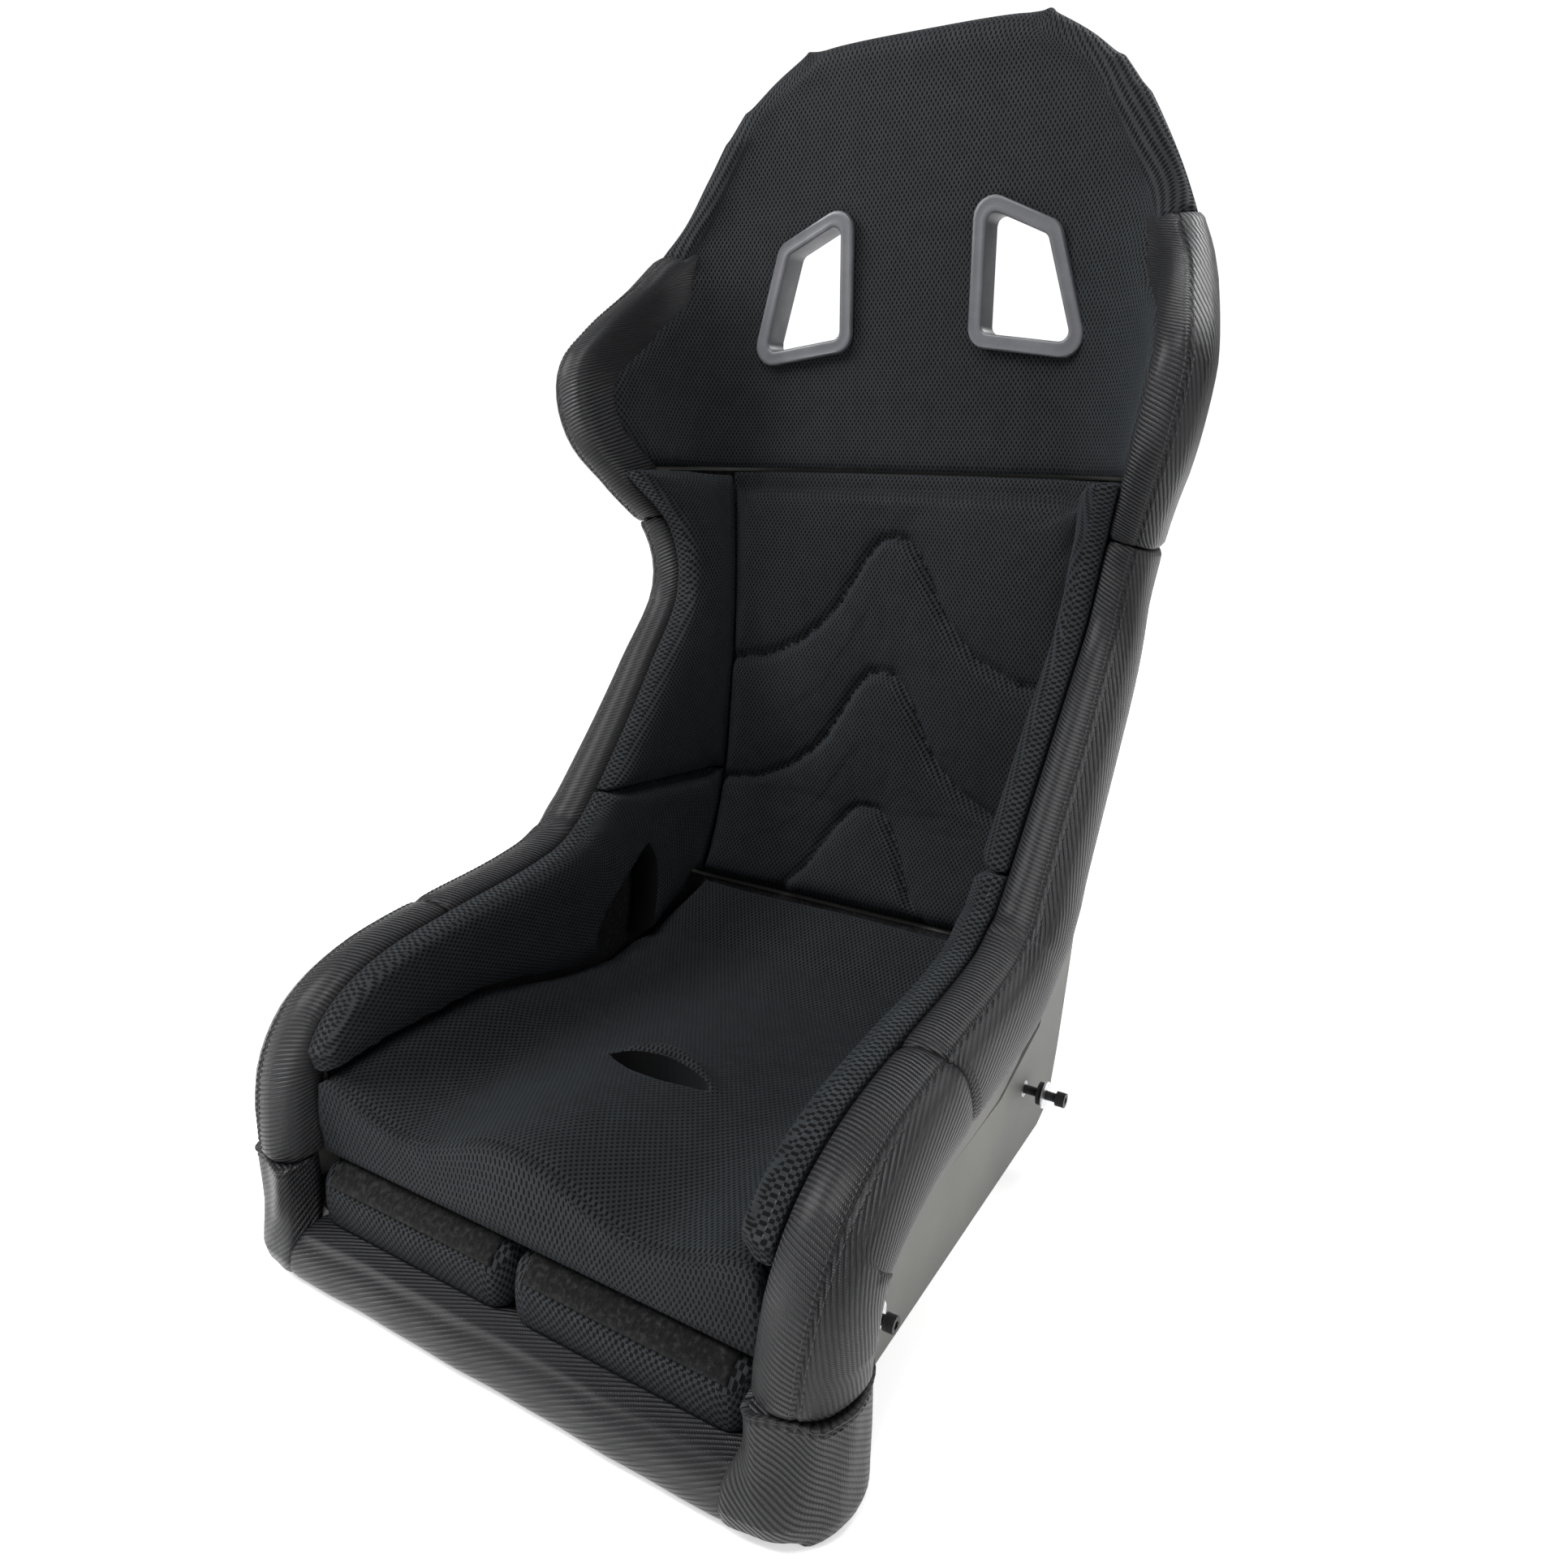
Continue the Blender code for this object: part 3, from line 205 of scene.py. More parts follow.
def running_length(spots):
    """Length along a path up to each of its spots."""
    return np.concatenate([[0.0], np.cumsum(np.linalg.norm(np.diff(spots, axis=0), axis=1))])


shell_sections = {}


def shell_section(s):
    """Half section at row s: spots (x, rise), lengths along it, spine and direction."""
    key = round(s, 4)
    if key not in shell_sections:
        sy, sz, corner, bend_x, bend_v, lip_x, lip_y, lip_z = shell_row(s)
        depth = math.hypot(lip_y - sy, lip_z - sz)
        bend_v = min(bend_v, 0.97 * depth)
        a, b = np.array((corner - bend_x, 0.0)), np.array((corner, 0.0))
        lip = np.array((lip_x, depth))
        c = b + (lip - b) * bend_v / depth
        t = np.linspace(0.0, 1.0, BEND_SPOTS)[:, None]
        arc = (1 - t) ** 2 * a + 2 * BEND_FULLNESS * t * (1 - t) * b + t ** 2 * c
        arc = arc / ((1 - t) ** 2 + 2 * BEND_FULLNESS * t * (1 - t) + t ** 2)
        beyond = lip + unit(lip - c) * 0.08
        spots = np.vstack([[0.0, 0.0], arc, lip, beyond])
        direction = np.array((lip_y - sy, lip_z - sz)) / depth
        spine = np.array((sy + SEAT_SHIFT, sz))
        shell_sections[key] = (spots, running_length(spots), spine, direction)
    return shell_sections[key]


def shell_point(s, d):
    """Inner surface at row s, d metres along the section from the spine (minus is left)."""
    spots, lengths, spine, direction = shell_section(s)
    x = np.interp(abs(d), lengths, spots[:, 0])
    rise = np.interp(abs(d), lengths, spots[:, 1])
    y, z = spine + rise * direction
    return np.array((math.copysign(x, d) if d else 0.0, y, z))


def lip_at(s):
    return shell_section(s)[1][BEND_SPOTS + 1]


def shell_normal(s, d):
    """Unit normal of the shell's surface, pointing at the driver."""
    s0, s1 = max(s - 0.04, 0.0), min(s + 0.04, LAST_ROW)
    share = d / lip_at(s)
    along = shell_point(s1, share * lip_at(s1)) - shell_point(s0, share * lip_at(s0))
    across = shell_point(s, d + 0.002) - shell_point(s, d - 0.002)
    return unit(np.cross(across, along))


def over_shell(s, d, height):
    return shell_point(s, d) + height * shell_normal(s, d)


def calculate(tree, operation, a, b=None, clamp=False):
    """A Math node; a and b are sockets or numbers."""
    node = tree.nodes.new("ShaderNodeMath")
    node.operation = operation
    node.use_clamp = clamp
    for socket, value in zip(node.inputs, (a, b)):
        if isinstance(value, (int, float)):
            socket.default_value = value
        elif value is not None:
            tree.links.new(value, socket)
    return node.outputs[0]


def plus_share(tree, a, b, share):
    """a plus b times share."""
    return calculate(tree, "ADD", a, calculate(tree, "MULTIPLY", b, share))


def blend_colours(tree, share, first, second):
    node = tree.nodes.new("ShaderNodeMix")
    node.data_type = "RGBA"
    tree.links.new(share, node.inputs["Factor"])
    for socket, value in ((node.inputs[6], first), (node.inputs[7], second)):
        if isinstance(value, tuple):
            socket.default_value = (*value, 1.0)
        else:
            tree.links.new(value, socket)
    return node.outputs[2]


def remap(tree, value, low, high, to_low=0.0, to_high=1.0):
    node = add_node(tree, "MapRange", Value=value, From_Min=low, From_Max=high, To_Min=to_low,
                    To_Max=to_high)
    node.interpolation_type = "SMOOTHSTEP"
    return node.outputs["Result"]


def noise(tree, place, scale, detail):
    return add_node(tree, "TexNoise", Vector=place, Scale=scale, Detail=detail).outputs["Fac"]


def new_group(name, inputs, outputs):
    """Shader node group with float, vector and colour sockets; returns it and its ends."""
    group = bpy.data.node_groups.new(name, "ShaderNodeTree")
    kinds = {"f": "NodeSocketFloat", "v": "NodeSocketVector", "c": "NodeSocketColor"}
    for label, kind in inputs:
        group.interface.new_socket(name=label, in_out="INPUT", socket_type=kinds[kind])
    for label, kind in outputs:
        group.interface.new_socket(name=label, in_out="OUTPUT", socket_type=kinds[kind])
    return group, group.nodes.new("NodeGroupInput"), group.nodes.new("NodeGroupOutput")


def place_group(tree, group, **values):
    node = tree.nodes.new("ShaderNodeGroup")
    node.node_tree = group
    return fill_inputs(tree, node, values)


def bump_into(tree, shader, height, strength, distance):
    bump = add_node(tree, "Bump", Height=height, Strength=strength, Distance=distance)
    tree.links.new(bump.outputs["Normal"], shader.inputs["Normal"])


def object_place(tree):
    return add_node(tree, "TexCoord").outputs["Object"]


def dust_group():
    """Faint pale dust and handling marks: a colour, and how much rougher they make it."""
    group, ends_in, ends_out = new_group(
        "dust_and_marks", [("Place", "v"), ("Clean", "c"), ("Dust", "c"), ("Amount", "f")],
        [("Color", "c"), ("Rougher", "f")])
    place = ends_in.outputs["Place"]
    cloud = remap(group, noise(group, place, 7.0, 4.0), 0.45, 0.72)
    speck = remap(group, noise(group, place, 420.0, 2.0), 0.62, 0.74)
    mask = calculate(group, "MULTIPLY", plus_share(group, speck, cloud, 0.55),
                     ends_in.outputs["Amount"], clamp=True)
    colour = blend_colours(group, mask, ends_in.outputs["Clean"], ends_in.outputs["Dust"])
    fill_inputs(group, ends_out, {"Color": colour, "Rougher": mask})
    return group


dust = dust_group()


def add_dust(tree, shader, place, clean, pale, amount):
    """Lays dust over a colour and gives the shader both; returns how much rougher it is."""
    marks = place_group(tree, dust, Place=place, Clean=clean, Dust=pale, Amount=amount)
    tree.links.new(marks.outputs["Color"], shader.inputs["Base Color"])
    return marks.outputs["Rougher"]


def grey_gelcoat():
    """Matt mid-grey gelcoat with brushed-on cloudiness and fine sanding lines."""
    mat, tree, shader = start_finish("grey_gelcoat", (0.13, 0.13, 0.12), 0.6)
    place = object_place(tree)
    cloud = remap(tree, noise(tree, place, 9.0, 5.0), 0.3, 0.7)
    base = blend_colours(tree, cloud, (0.098, 0.099, 0.092), (0.150, 0.150, 0.139))
    rougher = add_dust(tree, shader, place, base, (0.34, 0.34, 0.32), 0.22)
    rough = calculate(tree, "ADD", plus_share(tree, 0.50, cloud, 0.14), rougher, clamp=True)
    tree.links.new(rough, shader.inputs["Roughness"])
    drawn_out = add_node(tree, "Mapping", Vector=place, Scale=(40.0, 14.0, 260.0))
    scratches = noise(tree, drawn_out.outputs["Vector"], 1.0, 4.0)
    grain = noise(tree, place, 900.0, 2.0)
    bump_into(tree, shader, plus_share(tree, scratches, grain, 0.5), 0.22, 0.0006)
    return mat


def finish_node(names, mat):
    """Gives CAD pieces that keep their own shape a finish."""
    for name in names:
        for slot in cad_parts[name].material_slots:
            slot.material = mat


SIDES = (("right", 1), ("left", -1))
finish_node(["seat_shell"], grey_gelcoat())


# ---- Linings -------------------------------------------------------------------------------
# Black brushed loop cloth glued inside the shell; the pads' hook tape grips it.  Only thin
# strips of it show between the pads.
def brushed_loop(name, colour, tint):
    """Short matted pile: clumps, and fine crossed fibres."""
    mat, tree, shader = start_finish(name, colour, 0.97, Sheen_Weight=0.05, Sheen_Roughness=0.5,
                                     Specular_IOR_Level=0.15)
    place = object_place(tree)
    clump, fibre = noise(tree, place, 260.0, 5.0), noise(tree, place, 1500.0, 3.0)
    pile = plus_share(tree, clump, fibre, 0.6)
    base = blend_colours(tree, remap(tree, pile, 0.72, 1.10), colour, tint)
    tree.links.new(base, shader.inputs["Base Color"])
    bump_into(tree, shader, pile, 0.9, 0.0012)
    return mat


lining_cloth = brushed_loop("lining_loop_cloth", (0.006, 0.006, 0.007), (0.022, 0.022, 0.024))
finish_node(["pan_lining", "back_lining", "side_lining_left", "side_lining_right"], lining_cloth)


# ---- Edge rolls ----------------------------------------------------------------------------
# Foam rolls in coated cloth hang over the shell's lips.  The cloth is embossed with a ribbed
# twill; the inner and outer panels meet in a stitched seam along the crest, where the ribs
# change direction, and the lengths of roll butt at cross seams.
SLOT_GAP = 0.0014
RIB_PITCH = 0.0036


def twill_group():
    """Raised ribs, each crossed by slanting fine yarns, from a place on the cloth in metres."""
    group, ends_in, ends_out = new_group(
        "ribbed_twill", [("Place", "v"), ("Pitch", "f")], [("Height", "f"), ("Yarn", "f")])
    pitch = ends_in.outputs["Pitch"]
    split = add_node(group, "SeparateXYZ", Vector=ends_in.outputs["Place"])
    across, along = split.outputs[0], split.outputs[1]
    ribs = calculate(group, "DIVIDE", plus_share(group, along, across, 0.32), pitch)
    within = calculate(group, "FRACT", ribs)
    rib = calculate(group, "SINE", calculate(group, "MULTIPLY", within, math.pi))
    yarns = calculate(group, "DIVIDE", across, calculate(group, "MULTIPLY", pitch, 0.42))
    turns = calculate(group, "MULTIPLY", plus_share(group, yarns, within, 1.1), 2 * math.pi)
    yarn = plus_share(group, 0.5, calculate(group, "SINE", turns), 0.5)
    height = plus_share(group, calculate(group, "MULTIPLY", rib, 0.72),
                        calculate(group, "MULTIPLY", yarn, rib), 0.28)
    fill_inputs(group, ends_out, {"Height": height, "Yarn": yarn})
    return group


twill = twill_group()


def cloth_place(tree):
    node = tree.nodes.new("ShaderNodeUVMap")
    node.uv_map = "cloth"
    return node.outputs["UV"]


def twill_with_painted_rib_light(name, low, high):
    """Satin dark-grey coated cloth; its colour carries a painted highlight on the rib crests and
    painted shade in the grooves.
    """
    mat, tree, shader = start_finish(name, low, 0.42, Specular_IOR_Level=0.24, Coat_Weight=0.07,
                                     Coat_Roughness=0.28)
    height = place_group(tree, twill, Place=cloth_place(tree), Pitch=RIB_PITCH).outputs["Height"]
    place = object_place(tree)
    worn = remap(tree, noise(tree, place, 12.0, 4.0), 0.35, 0.75)
    # Painted light: the colour runs from the grooves' painted shade (low) to the crests' painted
    # highlight (high).
    crest = remap(tree, height, 0.15, 0.95)
    base = blend_colours(tree, crest, low, high)
    warm = blend_colours(tree, worn, base, tuple(0.62 * c for c in high))
    add_dust(tree, shader, place, warm, (0.05, 0.05, 0.05), 0.04)
    rough = plus_share(tree, plus_share(tree, 0.46, crest, -0.16), worn, 0.06)
    tree.links.new(rough, shader.inputs["Roughness"])
    grain = noise(tree, place, 1800.0, 2.0)
    bump_into(tree, shader, plus_share(tree, height, grain, 0.08), 0.9, 0.0014)
    return mat


def sewing_thread():
    """Dark polyester thread, twisted from fine plies."""
    mat, tree, shader = start_finish("sewing_thread", (0.022, 0.022, 0.024), 0.55)
    plies = add_node(tree, "TexWave", Vector=object_place(tree), Scale=900.0)
    bump_into(tree, shader, plies.outputs["Fac"], 0.5, 0.0002)
    return mat


# The two colours are the grooves' painted shade and the rib crests' painted highlight.
roll_cloth = twill_with_painted_rib_light("ribbed_coated_cloth_painted_rib_light", (0.0016, 0.0016, 0.0019),
                          (0.0165, 0.0165, 0.0185))
thread = sewing_thread()


def smooth_path(spots, steps):
    """Smooth curve through open 2D spots."""
    spots = np.array(spots, float)
    padded = np.vstack([2 * spots[0] - spots[1], spots, 2 * spots[-1] - spots[-2]])
    result = [through_four(*padded[k - 1:k + 3], t)
              for k in range(1, len(padded) - 2) for t in np.arange(steps) / steps]
    return np.array([*result, spots[-1]])


def closed_path(spots, steps):
    """Smooth closed outline from spots, without its first spot again at the end."""
    return smooth_path([*spots, spots[0]], steps)[:-1]


# shell row, leg inside, thickness inside, crest, drop outside, bulge outside
ROLL_TABLE = np.array([
    (-1.0, 0.020, 0.0105, 0.020, 0.055, 0.050),
    (0.0, 0.020, 0.0105, 0.016, 0.055, 0.050),
    (2.0, 0.020, 0.0105, 0.013, 0.058, 0.049),
    (5.0, 0.020, 0.0105, 0.013, 0.060, 0.047),
    (10.0, 0.020, 0.0105, 0.013, 0.060, 0.044),
    (13.0, 0.020, 0.0105, 0.013, 0.058, 0.038),
    (14.4, 0.020, 0.0105, 0.013, 0.052, 0.032),
    (15.5, 0.024, 0.0105, 0.013, 0.056, 0.033),
    (16.5, 0.036, 0.0110, 0.014, 0.075, 0.036),
    (18.0, 0.042, 0.0110, 0.014, 0.085, 0.036),
    (19.5, 0.036, 0.0125, 0.0135, 0.060, 0.032),
    (20.4, 0.020, 0.0165, 0.0155, 0.032, 0.025),
])
SEAM_SHARE, SEAM_HALF, SEAM_DEPTH = 0.40, 0.0016, 0.0013
OUTER_POINTS = 41
ROLL_STITCH = (0.0046, 0.0030, 0.00038)
RING_STEP = 0.22                              # shell rows between a roll's rings
TUCK_REACH, TUCK_DEPTH = 0.14, 0.0035


def roll_outline(s, tuck=0.0):
    """Closed outline (across the lip, behind the shell) of the roll at row s; tuck draws the
    cloth in where it is sewn to the next length.  The first points run over the outside."""
    leg, inner, crest, drop, bulge = (np.interp(s, ROLL_TABLE[:, 0], ROLL_TABLE[:, k])
                                      for k in range(1, 6))
    inner, crest, bulge = inner - 0.6 * tuck, crest - tuck, bulge - tuck
    w0, w1 = -SLOT_GAP, WALL + 1.5 * SLOT_GAP
    mid = (w1 + bulge) / 2
    skin = smooth_path([
        (-leg, w0), (-leg - 0.0006, -inner * 0.62), (-leg + 0.004, -inner), (-0.002, -inner),
        (crest * 0.60, -inner * 0.62), (crest * 0.96, 0.10 * bulge), (crest, 0.30 * bulge),
        (crest * 0.70, 0.62 * bulge), (crest * 0.10, 0.85 * bulge), (-0.30 * drop, 0.98 * bulge),
        (-0.65 * drop, 0.96 * bulge), (-0.92 * drop, 0.72 * bulge), (-drop, mid * 0.75),
        (-0.93 * drop, w1)], 8)
    lengths = running_length(skin)
    seam = SEAM_SHARE * lengths[-1]
    evenly = np.linspace(0.0, lengths[-1], OUTER_POINTS - 4)
    nearest = np.abs(evenly - seam).argmin()
    evenly[nearest] = seam
    marks = np.sort(np.concatenate([evenly, seam + SEAM_HALF * np.array((-1.6, -0.6, 0.6, 1.6))]))
    outer = np.stack([np.interp(marks, lengths, skin[:, k]) for k in (0, 1)], axis=1)
    centre = np.array((-0.004, 0.35 * bulge))
    for k, mark in enumerate(marks):
        dip = SEAM_DEPTH * math.exp(-((mark - seam) / SEAM_HALF) ** 2)
        outer[k] += dip * unit(centre - outer[k])
    slot = np.array([(-0.68 * drop, w1), (-0.42 * drop, w1), (-0.18 * drop, w1),
                     (SLOT_GAP, w1), (SLOT_GAP, w0)])
    return np.vstack([outer, slot]), marks, seam


def lip_stretch(s):
    """How much longer a length square to the lip is along the shell's section."""
    a, b = max(s - 0.05, 0.0), min(s + 0.05, LAST_ROW)
    along = shell_point(b, lip_at(b)) - shell_point(a, lip_at(a))
    across = shell_point(s, lip_at(s)) - shell_point(s, lip_at(s) - 0.01)
    return 1.0 / np.linalg.norm(np.cross(unit(along), unit(across)))


def ring_over_lip(s, outline):
    stretch = lip_stretch(s)
    return [over_shell(s, lip_at(s) + v * stretch, -w) for v, w in outline]


def ring_rising(s, outline):
    """Ring square to the lip where it climbs steeply from the seat's front."""
    before, after = max(s - 0.05, 0.0), s + 0.05
    along = shell_point(after, lip_at(after)) - shell_point(before, lip_at(before))
    inwards = shell_normal(s, lip_at(s) - 0.001)
    outward = unit(np.cross(along, inwards))
    return [shell_point(s, lip_at(s)) + v * outward - w * inwards for v, w in outline]


def ring_at_front(z, outline):
    """Ring round the upright front edge of the side wall at height z."""
    top = lip_at(0.0)
    x, y, height = shell_point(0.0, top - (shell_point(0.0, top)[2] - z))
    return [np.array((x + w, y - v, height)) for v, w in outline]


def station(ring_of, place, s, tuck=0.0):
    """One ring of a roll, the lengths along its skin and the seam's place among them."""
    outline, marks, seam = roll_outline(s, tuck)
    return ring_of(place, outline), marks, seam


def mesh_of(name, verts, faces):
    mesh = bpy.data.meshes.new(name)
    mesh.from_pydata([tuple(map(float, v)) for v in verts], [], faces)
    return mesh


def face_outwards(mesh, unsorted=False):
    """Turns a mesh's faces outwards; where they are unsorted, makes them agree first."""
    bm = bmesh.new()
    bm.from_mesh(mesh)
    if unsorted:
        bmesh.ops.recalc_face_normals(bm, faces=bm.faces)
    if bm.calc_volume(signed=True) < 0:
        bmesh.ops.reverse_faces(bm, faces=bm.faces)
    bm.to_mesh(mesh)
    bm.free()


def add_piece(name, mesh, mat, body="seat"):
    """Smooth piece of one finish that rides on its body."""
    mesh.materials.append(mat)
    mesh.shade_smooth()
    piece = bpy.data.objects.new(name, mesh)
    bpy.context.scene.collection.objects.link(piece)
    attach(piece, body)
    return piece


def cloth_object(name, verts, faces, uvs, mat, body="seat"):
    """Piece with a cloth map in metres, one uv per face corner."""
    mesh = mesh_of(name, verts, faces)
    layer = mesh.uv_layers.new(name="cloth")
    flat_uvs = np.array([pair for face in uvs for pair in face], np.float32).reshape(-1)
    layer.data.foreach_set("uv", flat_uvs)
    face_outwards(mesh)
    return add_piece(name, mesh, mat, body)


def cloth_tube(name, rings, cloth_at, end_at):
    """Closed tube of coated cloth through rings; cloth_at(ring, side) gives the map's four
    corners there, and end_at(spot) gives the map on the two ends."""
    count = len(rings[0])
    verts = [spot for ring in rings for spot in ring]
    faces, uvs = [], []
    for k in range(len(rings) - 1):
        for j in range(count):
            a, b = k * count + j, k * count + (j + 1) % count
            faces.append((a, b, b + count, a + count))
            uvs.append(cloth_at(k, j))
    for end in (range(count)[::-1], range(len(verts) - count, len(verts))):
        faces.append(tuple(end))
        uvs.append([end_at(verts[i]) for i in end])
    return cloth_object(name, verts, faces, uvs, roll_cloth)


def map_corners(u, v, j, k):
    """The map's corners round side j of ring k, from the lengths round and along a tube."""
    return [(u[j], v[k]), (u[j + 1], v[k]), (u[j + 1], v[k + 1]), (u[j], v[k + 1])]


def sewn_roll(name, stations, sign):
    """Roll of cloth through its stations, with the ribs turned on the panel behind the seam."""
    rings = [np.array(ring) * (sign, 1.0, 1.0) for ring, _, _ in stations]
    crest = len(stations[0][1]) // 3
    along = running_length([ring[crest] for ring in rings])

    def cloth_at(k, j):
        _, marks, seam = stations[k]
        u0, u1 = (marks[j] - seam, marks[j + 1] - seam) if j + 1 < len(marks) else (0.2, 0.21)
        corners = map_corners((u0, u1), along, 0, k)
        return [(v, u) for u, v in corners] if u0 + u1 > 0 else corners

    return cloth_tube(name, rings, cloth_at, lambda spot: (0.0, 0.0))


def stitches(name, path, size):
    """Row of short rounded stitches along a path; size is their pitch, length and radius."""
    pitch, length, radius = size
    path = np.array(path, float)
    lengths = running_length(path)
    verts, faces = [], []
    sides, stops = 6, ((0.0, 0.35), (0.2, 1.0), (0.8, 1.0), (1.0, 0.35))
    for start in np.arange(pitch / 2, lengths[-1] - length, pitch):
        a, b = (np.array([np.interp(t, lengths, path[:, k]) for k in range(3)])
                for t in (start, start + length))
        side = unit(np.cross(unit(b - a), (0.31, 0.52, 0.79)))
        up = np.cross(unit(b - a), side)
        first = len(verts)
        for share, wide in stops:
            for k in range(sides):
                turn = 2 * math.pi * k / sides
                verts.append(a + (b - a) * share
                             + radius * wide * (math.cos(turn) * side + math.sin(turn) * up))
        for r in range(len(stops) - 1):
            for k in range(sides):
                p, q = first + r * sides + k, first + r * sides + (k + 1) % sides
                faces.append((p, q, q + sides, p + sides))
        faces.append(tuple(first + k for k in range(sides))[::-1])
        faces.append(tuple(first + (len(stops) - 1) * sides + k for k in range(sides)))
    row = add_piece(name, mesh_of(name, verts, faces), thread)


def roll_stations(first, last):
    """Row numbers of a roll's rings, closer together near its ends."""
    count = max(6, int(round((last - first) / RING_STEP)))
    inner = np.linspace(first, last, count + 1)[1:-1]
    close = [0.03, 0.09]
    return sorted([first, last, *(first + c for c in close), *(last - c for c in close), *inner])


def end_tuck(s, first, last):
    """How far the cloth is drawn in at row s, near the cross seam at either end."""
    return TUCK_DEPTH * max(0.0, 1.0 - min(s - first, last - s) / TUCK_REACH) ** 2


ROLL_LENGTHS = (("thigh_roll", 1.75, MID_SEAM), ("torso_roll", MID_SEAM + 0.02, UPPER_SEAM),
                ("shoulder_roll", UPPER_SEAM + 0.03, WING_TOP + 0.27))
for roll_name, first, last in ROLL_LENGTHS:
    stations = []
    tucked_from = first
    if roll_name == "thigh_roll":
        tucked_from = -10.0          # this end carries on down the shell's front edge
        for z in (0.0905, 0.0925, 0.096, 0.104, 0.112):
            stations.append(station(ring_at_front, z, -1.0 + (z - 0.09) / 0.03,
                                    0.0035 * max(0.0, 1 - (z - 0.0905) / 0.005)))
        stations += [station(ring_rising, s, s) for s in (0.35, 0.6, 0.85, 1.1, 1.35, 1.6)]
    stations += [station(ring_over_lip, s, s, end_tuck(s, tucked_from, last))
                 for s in roll_stations(first, last)]
    for side, sign in SIDES:
        roll = sewn_roll(f"{roll_name}_{side}_sewn", stations, sign)
        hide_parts(f"{roll_name}_{side}")
        for label, offset in (("inner", -0.0030), ("outer", 0.0030)):
            path = []
            for ring, marks, seam in stations:
                skin = np.array(ring)[:len(marks)]
                spot = np.array([np.interp(seam + offset, marks, skin[:, k]) for k in range(3)])
                path.append((spot + 0.00015 * unit(spot - skin.mean(axis=0))) * (sign, 1.0, 1.0))
            stitches(f"{roll_name}_{side}_{label}_stitches", path, ROLL_STITCH)


# The corner lengths turn round the foot of the shell's front edge and stand on the floor, with
# a hem round their tops; the front length closes the pan's front lip between them.
CORNER_CENTRE = np.array((0.232, -0.283))
HEM_HEIGHTS = (0.0815, 0.0830, 0.0845, 0.0860, 0.0875, 0.0888, 0.0895, 0.0893)
HEM_PROUD = (0.0, 0.0004, 0.0002, -0.0008, 0.0012, 0.0016, 0.0008, -0.0040)
HEM_SEAM = 0.0828


def corner_outline(z):
    """Closed XY outline of a corner length at height z; its foot swells towards the front
    length and its inner side climbs from it in a hollow curve."""
    climb = min(1.0, max(0.0, (z - 0.036) / 0.034))
    climb = math.sin(climb * math.pi / 2)
    inner_x = 0.1945 + 0.0085 * climb
    front_y = np.interp(z, (0.0, 0.003, 0.009, 0.020, 0.031, 0.045, 0.065, 0.080, 0.0895),
                        (-0.3165, -0.3205, -0.3275, -0.3295, -0.3270, -0.3225, -0.3195, -0.3185,
                         -0.3180))
    spread = np.interp(z, (0.0, 0.004, 0.015, 0.050, 0.0895), (-0.008, -0.003, 0.0, 0.0, -0.001))
    back_y = -0.2990 + 0.0110 * climb
    return smooth_path([
        (inner_x, back_y), (inner_x, front_y + 0.0060), (inner_x + 0.0050, front_y),
        (0.2160, front_y), (0.2360 + 0.5 * spread, front_y + 0.0070),
        (0.2530 + spread, -0.3060 + 0.3 * spread), (0.2620 + spread, -0.2850),
        (0.2605 + spread, -0.2620), (0.2500, -0.2440), (0.2340, -0.2385), (0.2205, -0.2395),
        (0.2200, -0.2700), (0.2160, -0.2960), (0.2080, -0.2985), (0.2060, back_y),
        (inner_x, back_y)], 4)[:-1]


def corner_length(side, sign):
    """Corner roll built up in level outlines, wrinkled where the cloth is pulled round."""
    heights = np.concatenate([[0.0008, 0.0025, 0.006, 0.010, 0.015], np.linspace(0.020, 0.0795, 22),
                              HEM_HEIGHTS])
    prouds = np.concatenate([np.zeros(len(heights) - len(HEM_PROUD)), HEM_PROUD])
    rings = []
    for z, proud in zip(heights, prouds):
        ring = []
        for x, y in corner_outline(z):
            outward = unit(np.array((x, y)) - CORNER_CENTRE)
            turn = math.atan2(y - CORNER_CENTRE[1], x - CORNER_CENTRE[0])
            pucker = 0.0009 * math.sin(11 * turn + 70 * z) * math.exp(-((turn + 2.2) / 0.5) ** 2)
            pucker += 0.0005 * math.sin(7 * turn - 50 * z)
            inside_wall = y > -0.2995 and x < 0.2206
            out = (0.0 if inside_wall else proud) + pucker * min(1.0, z / 0.01)
            ring.append(((x + out * outward[0]) * sign, y + out * outward[1] + SEAT_SHIFT, z))
        rings.append(ring)
    foot = corner_outline(heights[0])
    lengths = running_length(np.vstack([foot, foot[:1]]))
    roll = cloth_tube(f"corner_roll_{side}_sewn", rings, lambda k, j: [
        (0.92 * u - 0.39 * v, 0.92 * v + 0.39 * u)
        for u, v in map_corners(lengths, heights, j, k)], lambda spot: spot[:2])
    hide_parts(f"corner_roll_{side}")
    path = [((x + 0.0003) * sign, y + SEAT_SHIFT, HEM_SEAM)
            for x, y in corner_outline(HEM_SEAM)[8:44]]
    stitches(f"corner_roll_{side}_stitches", path, ROLL_STITCH)


for side, sign in SIDES:
    corner_length(side, sign)

FRONT_OUTLINE = [(-0.3012, 0.0015), (-0.3190, 0.0018), (-0.3275, 0.0085), (-0.3295, 0.0195),
                 (-0.3255, 0.0312), (-0.3165, 0.0385), (-0.3060, 0.0402), (-0.2960, 0.0400),
                 (-0.2900, 0.0385), (-0.2890, 0.0355), (-0.2990, 0.0348), (-0.3012, 0.0330),
                 (-0.3012, 0.0180)]
FRONT_HALF = 0.1962


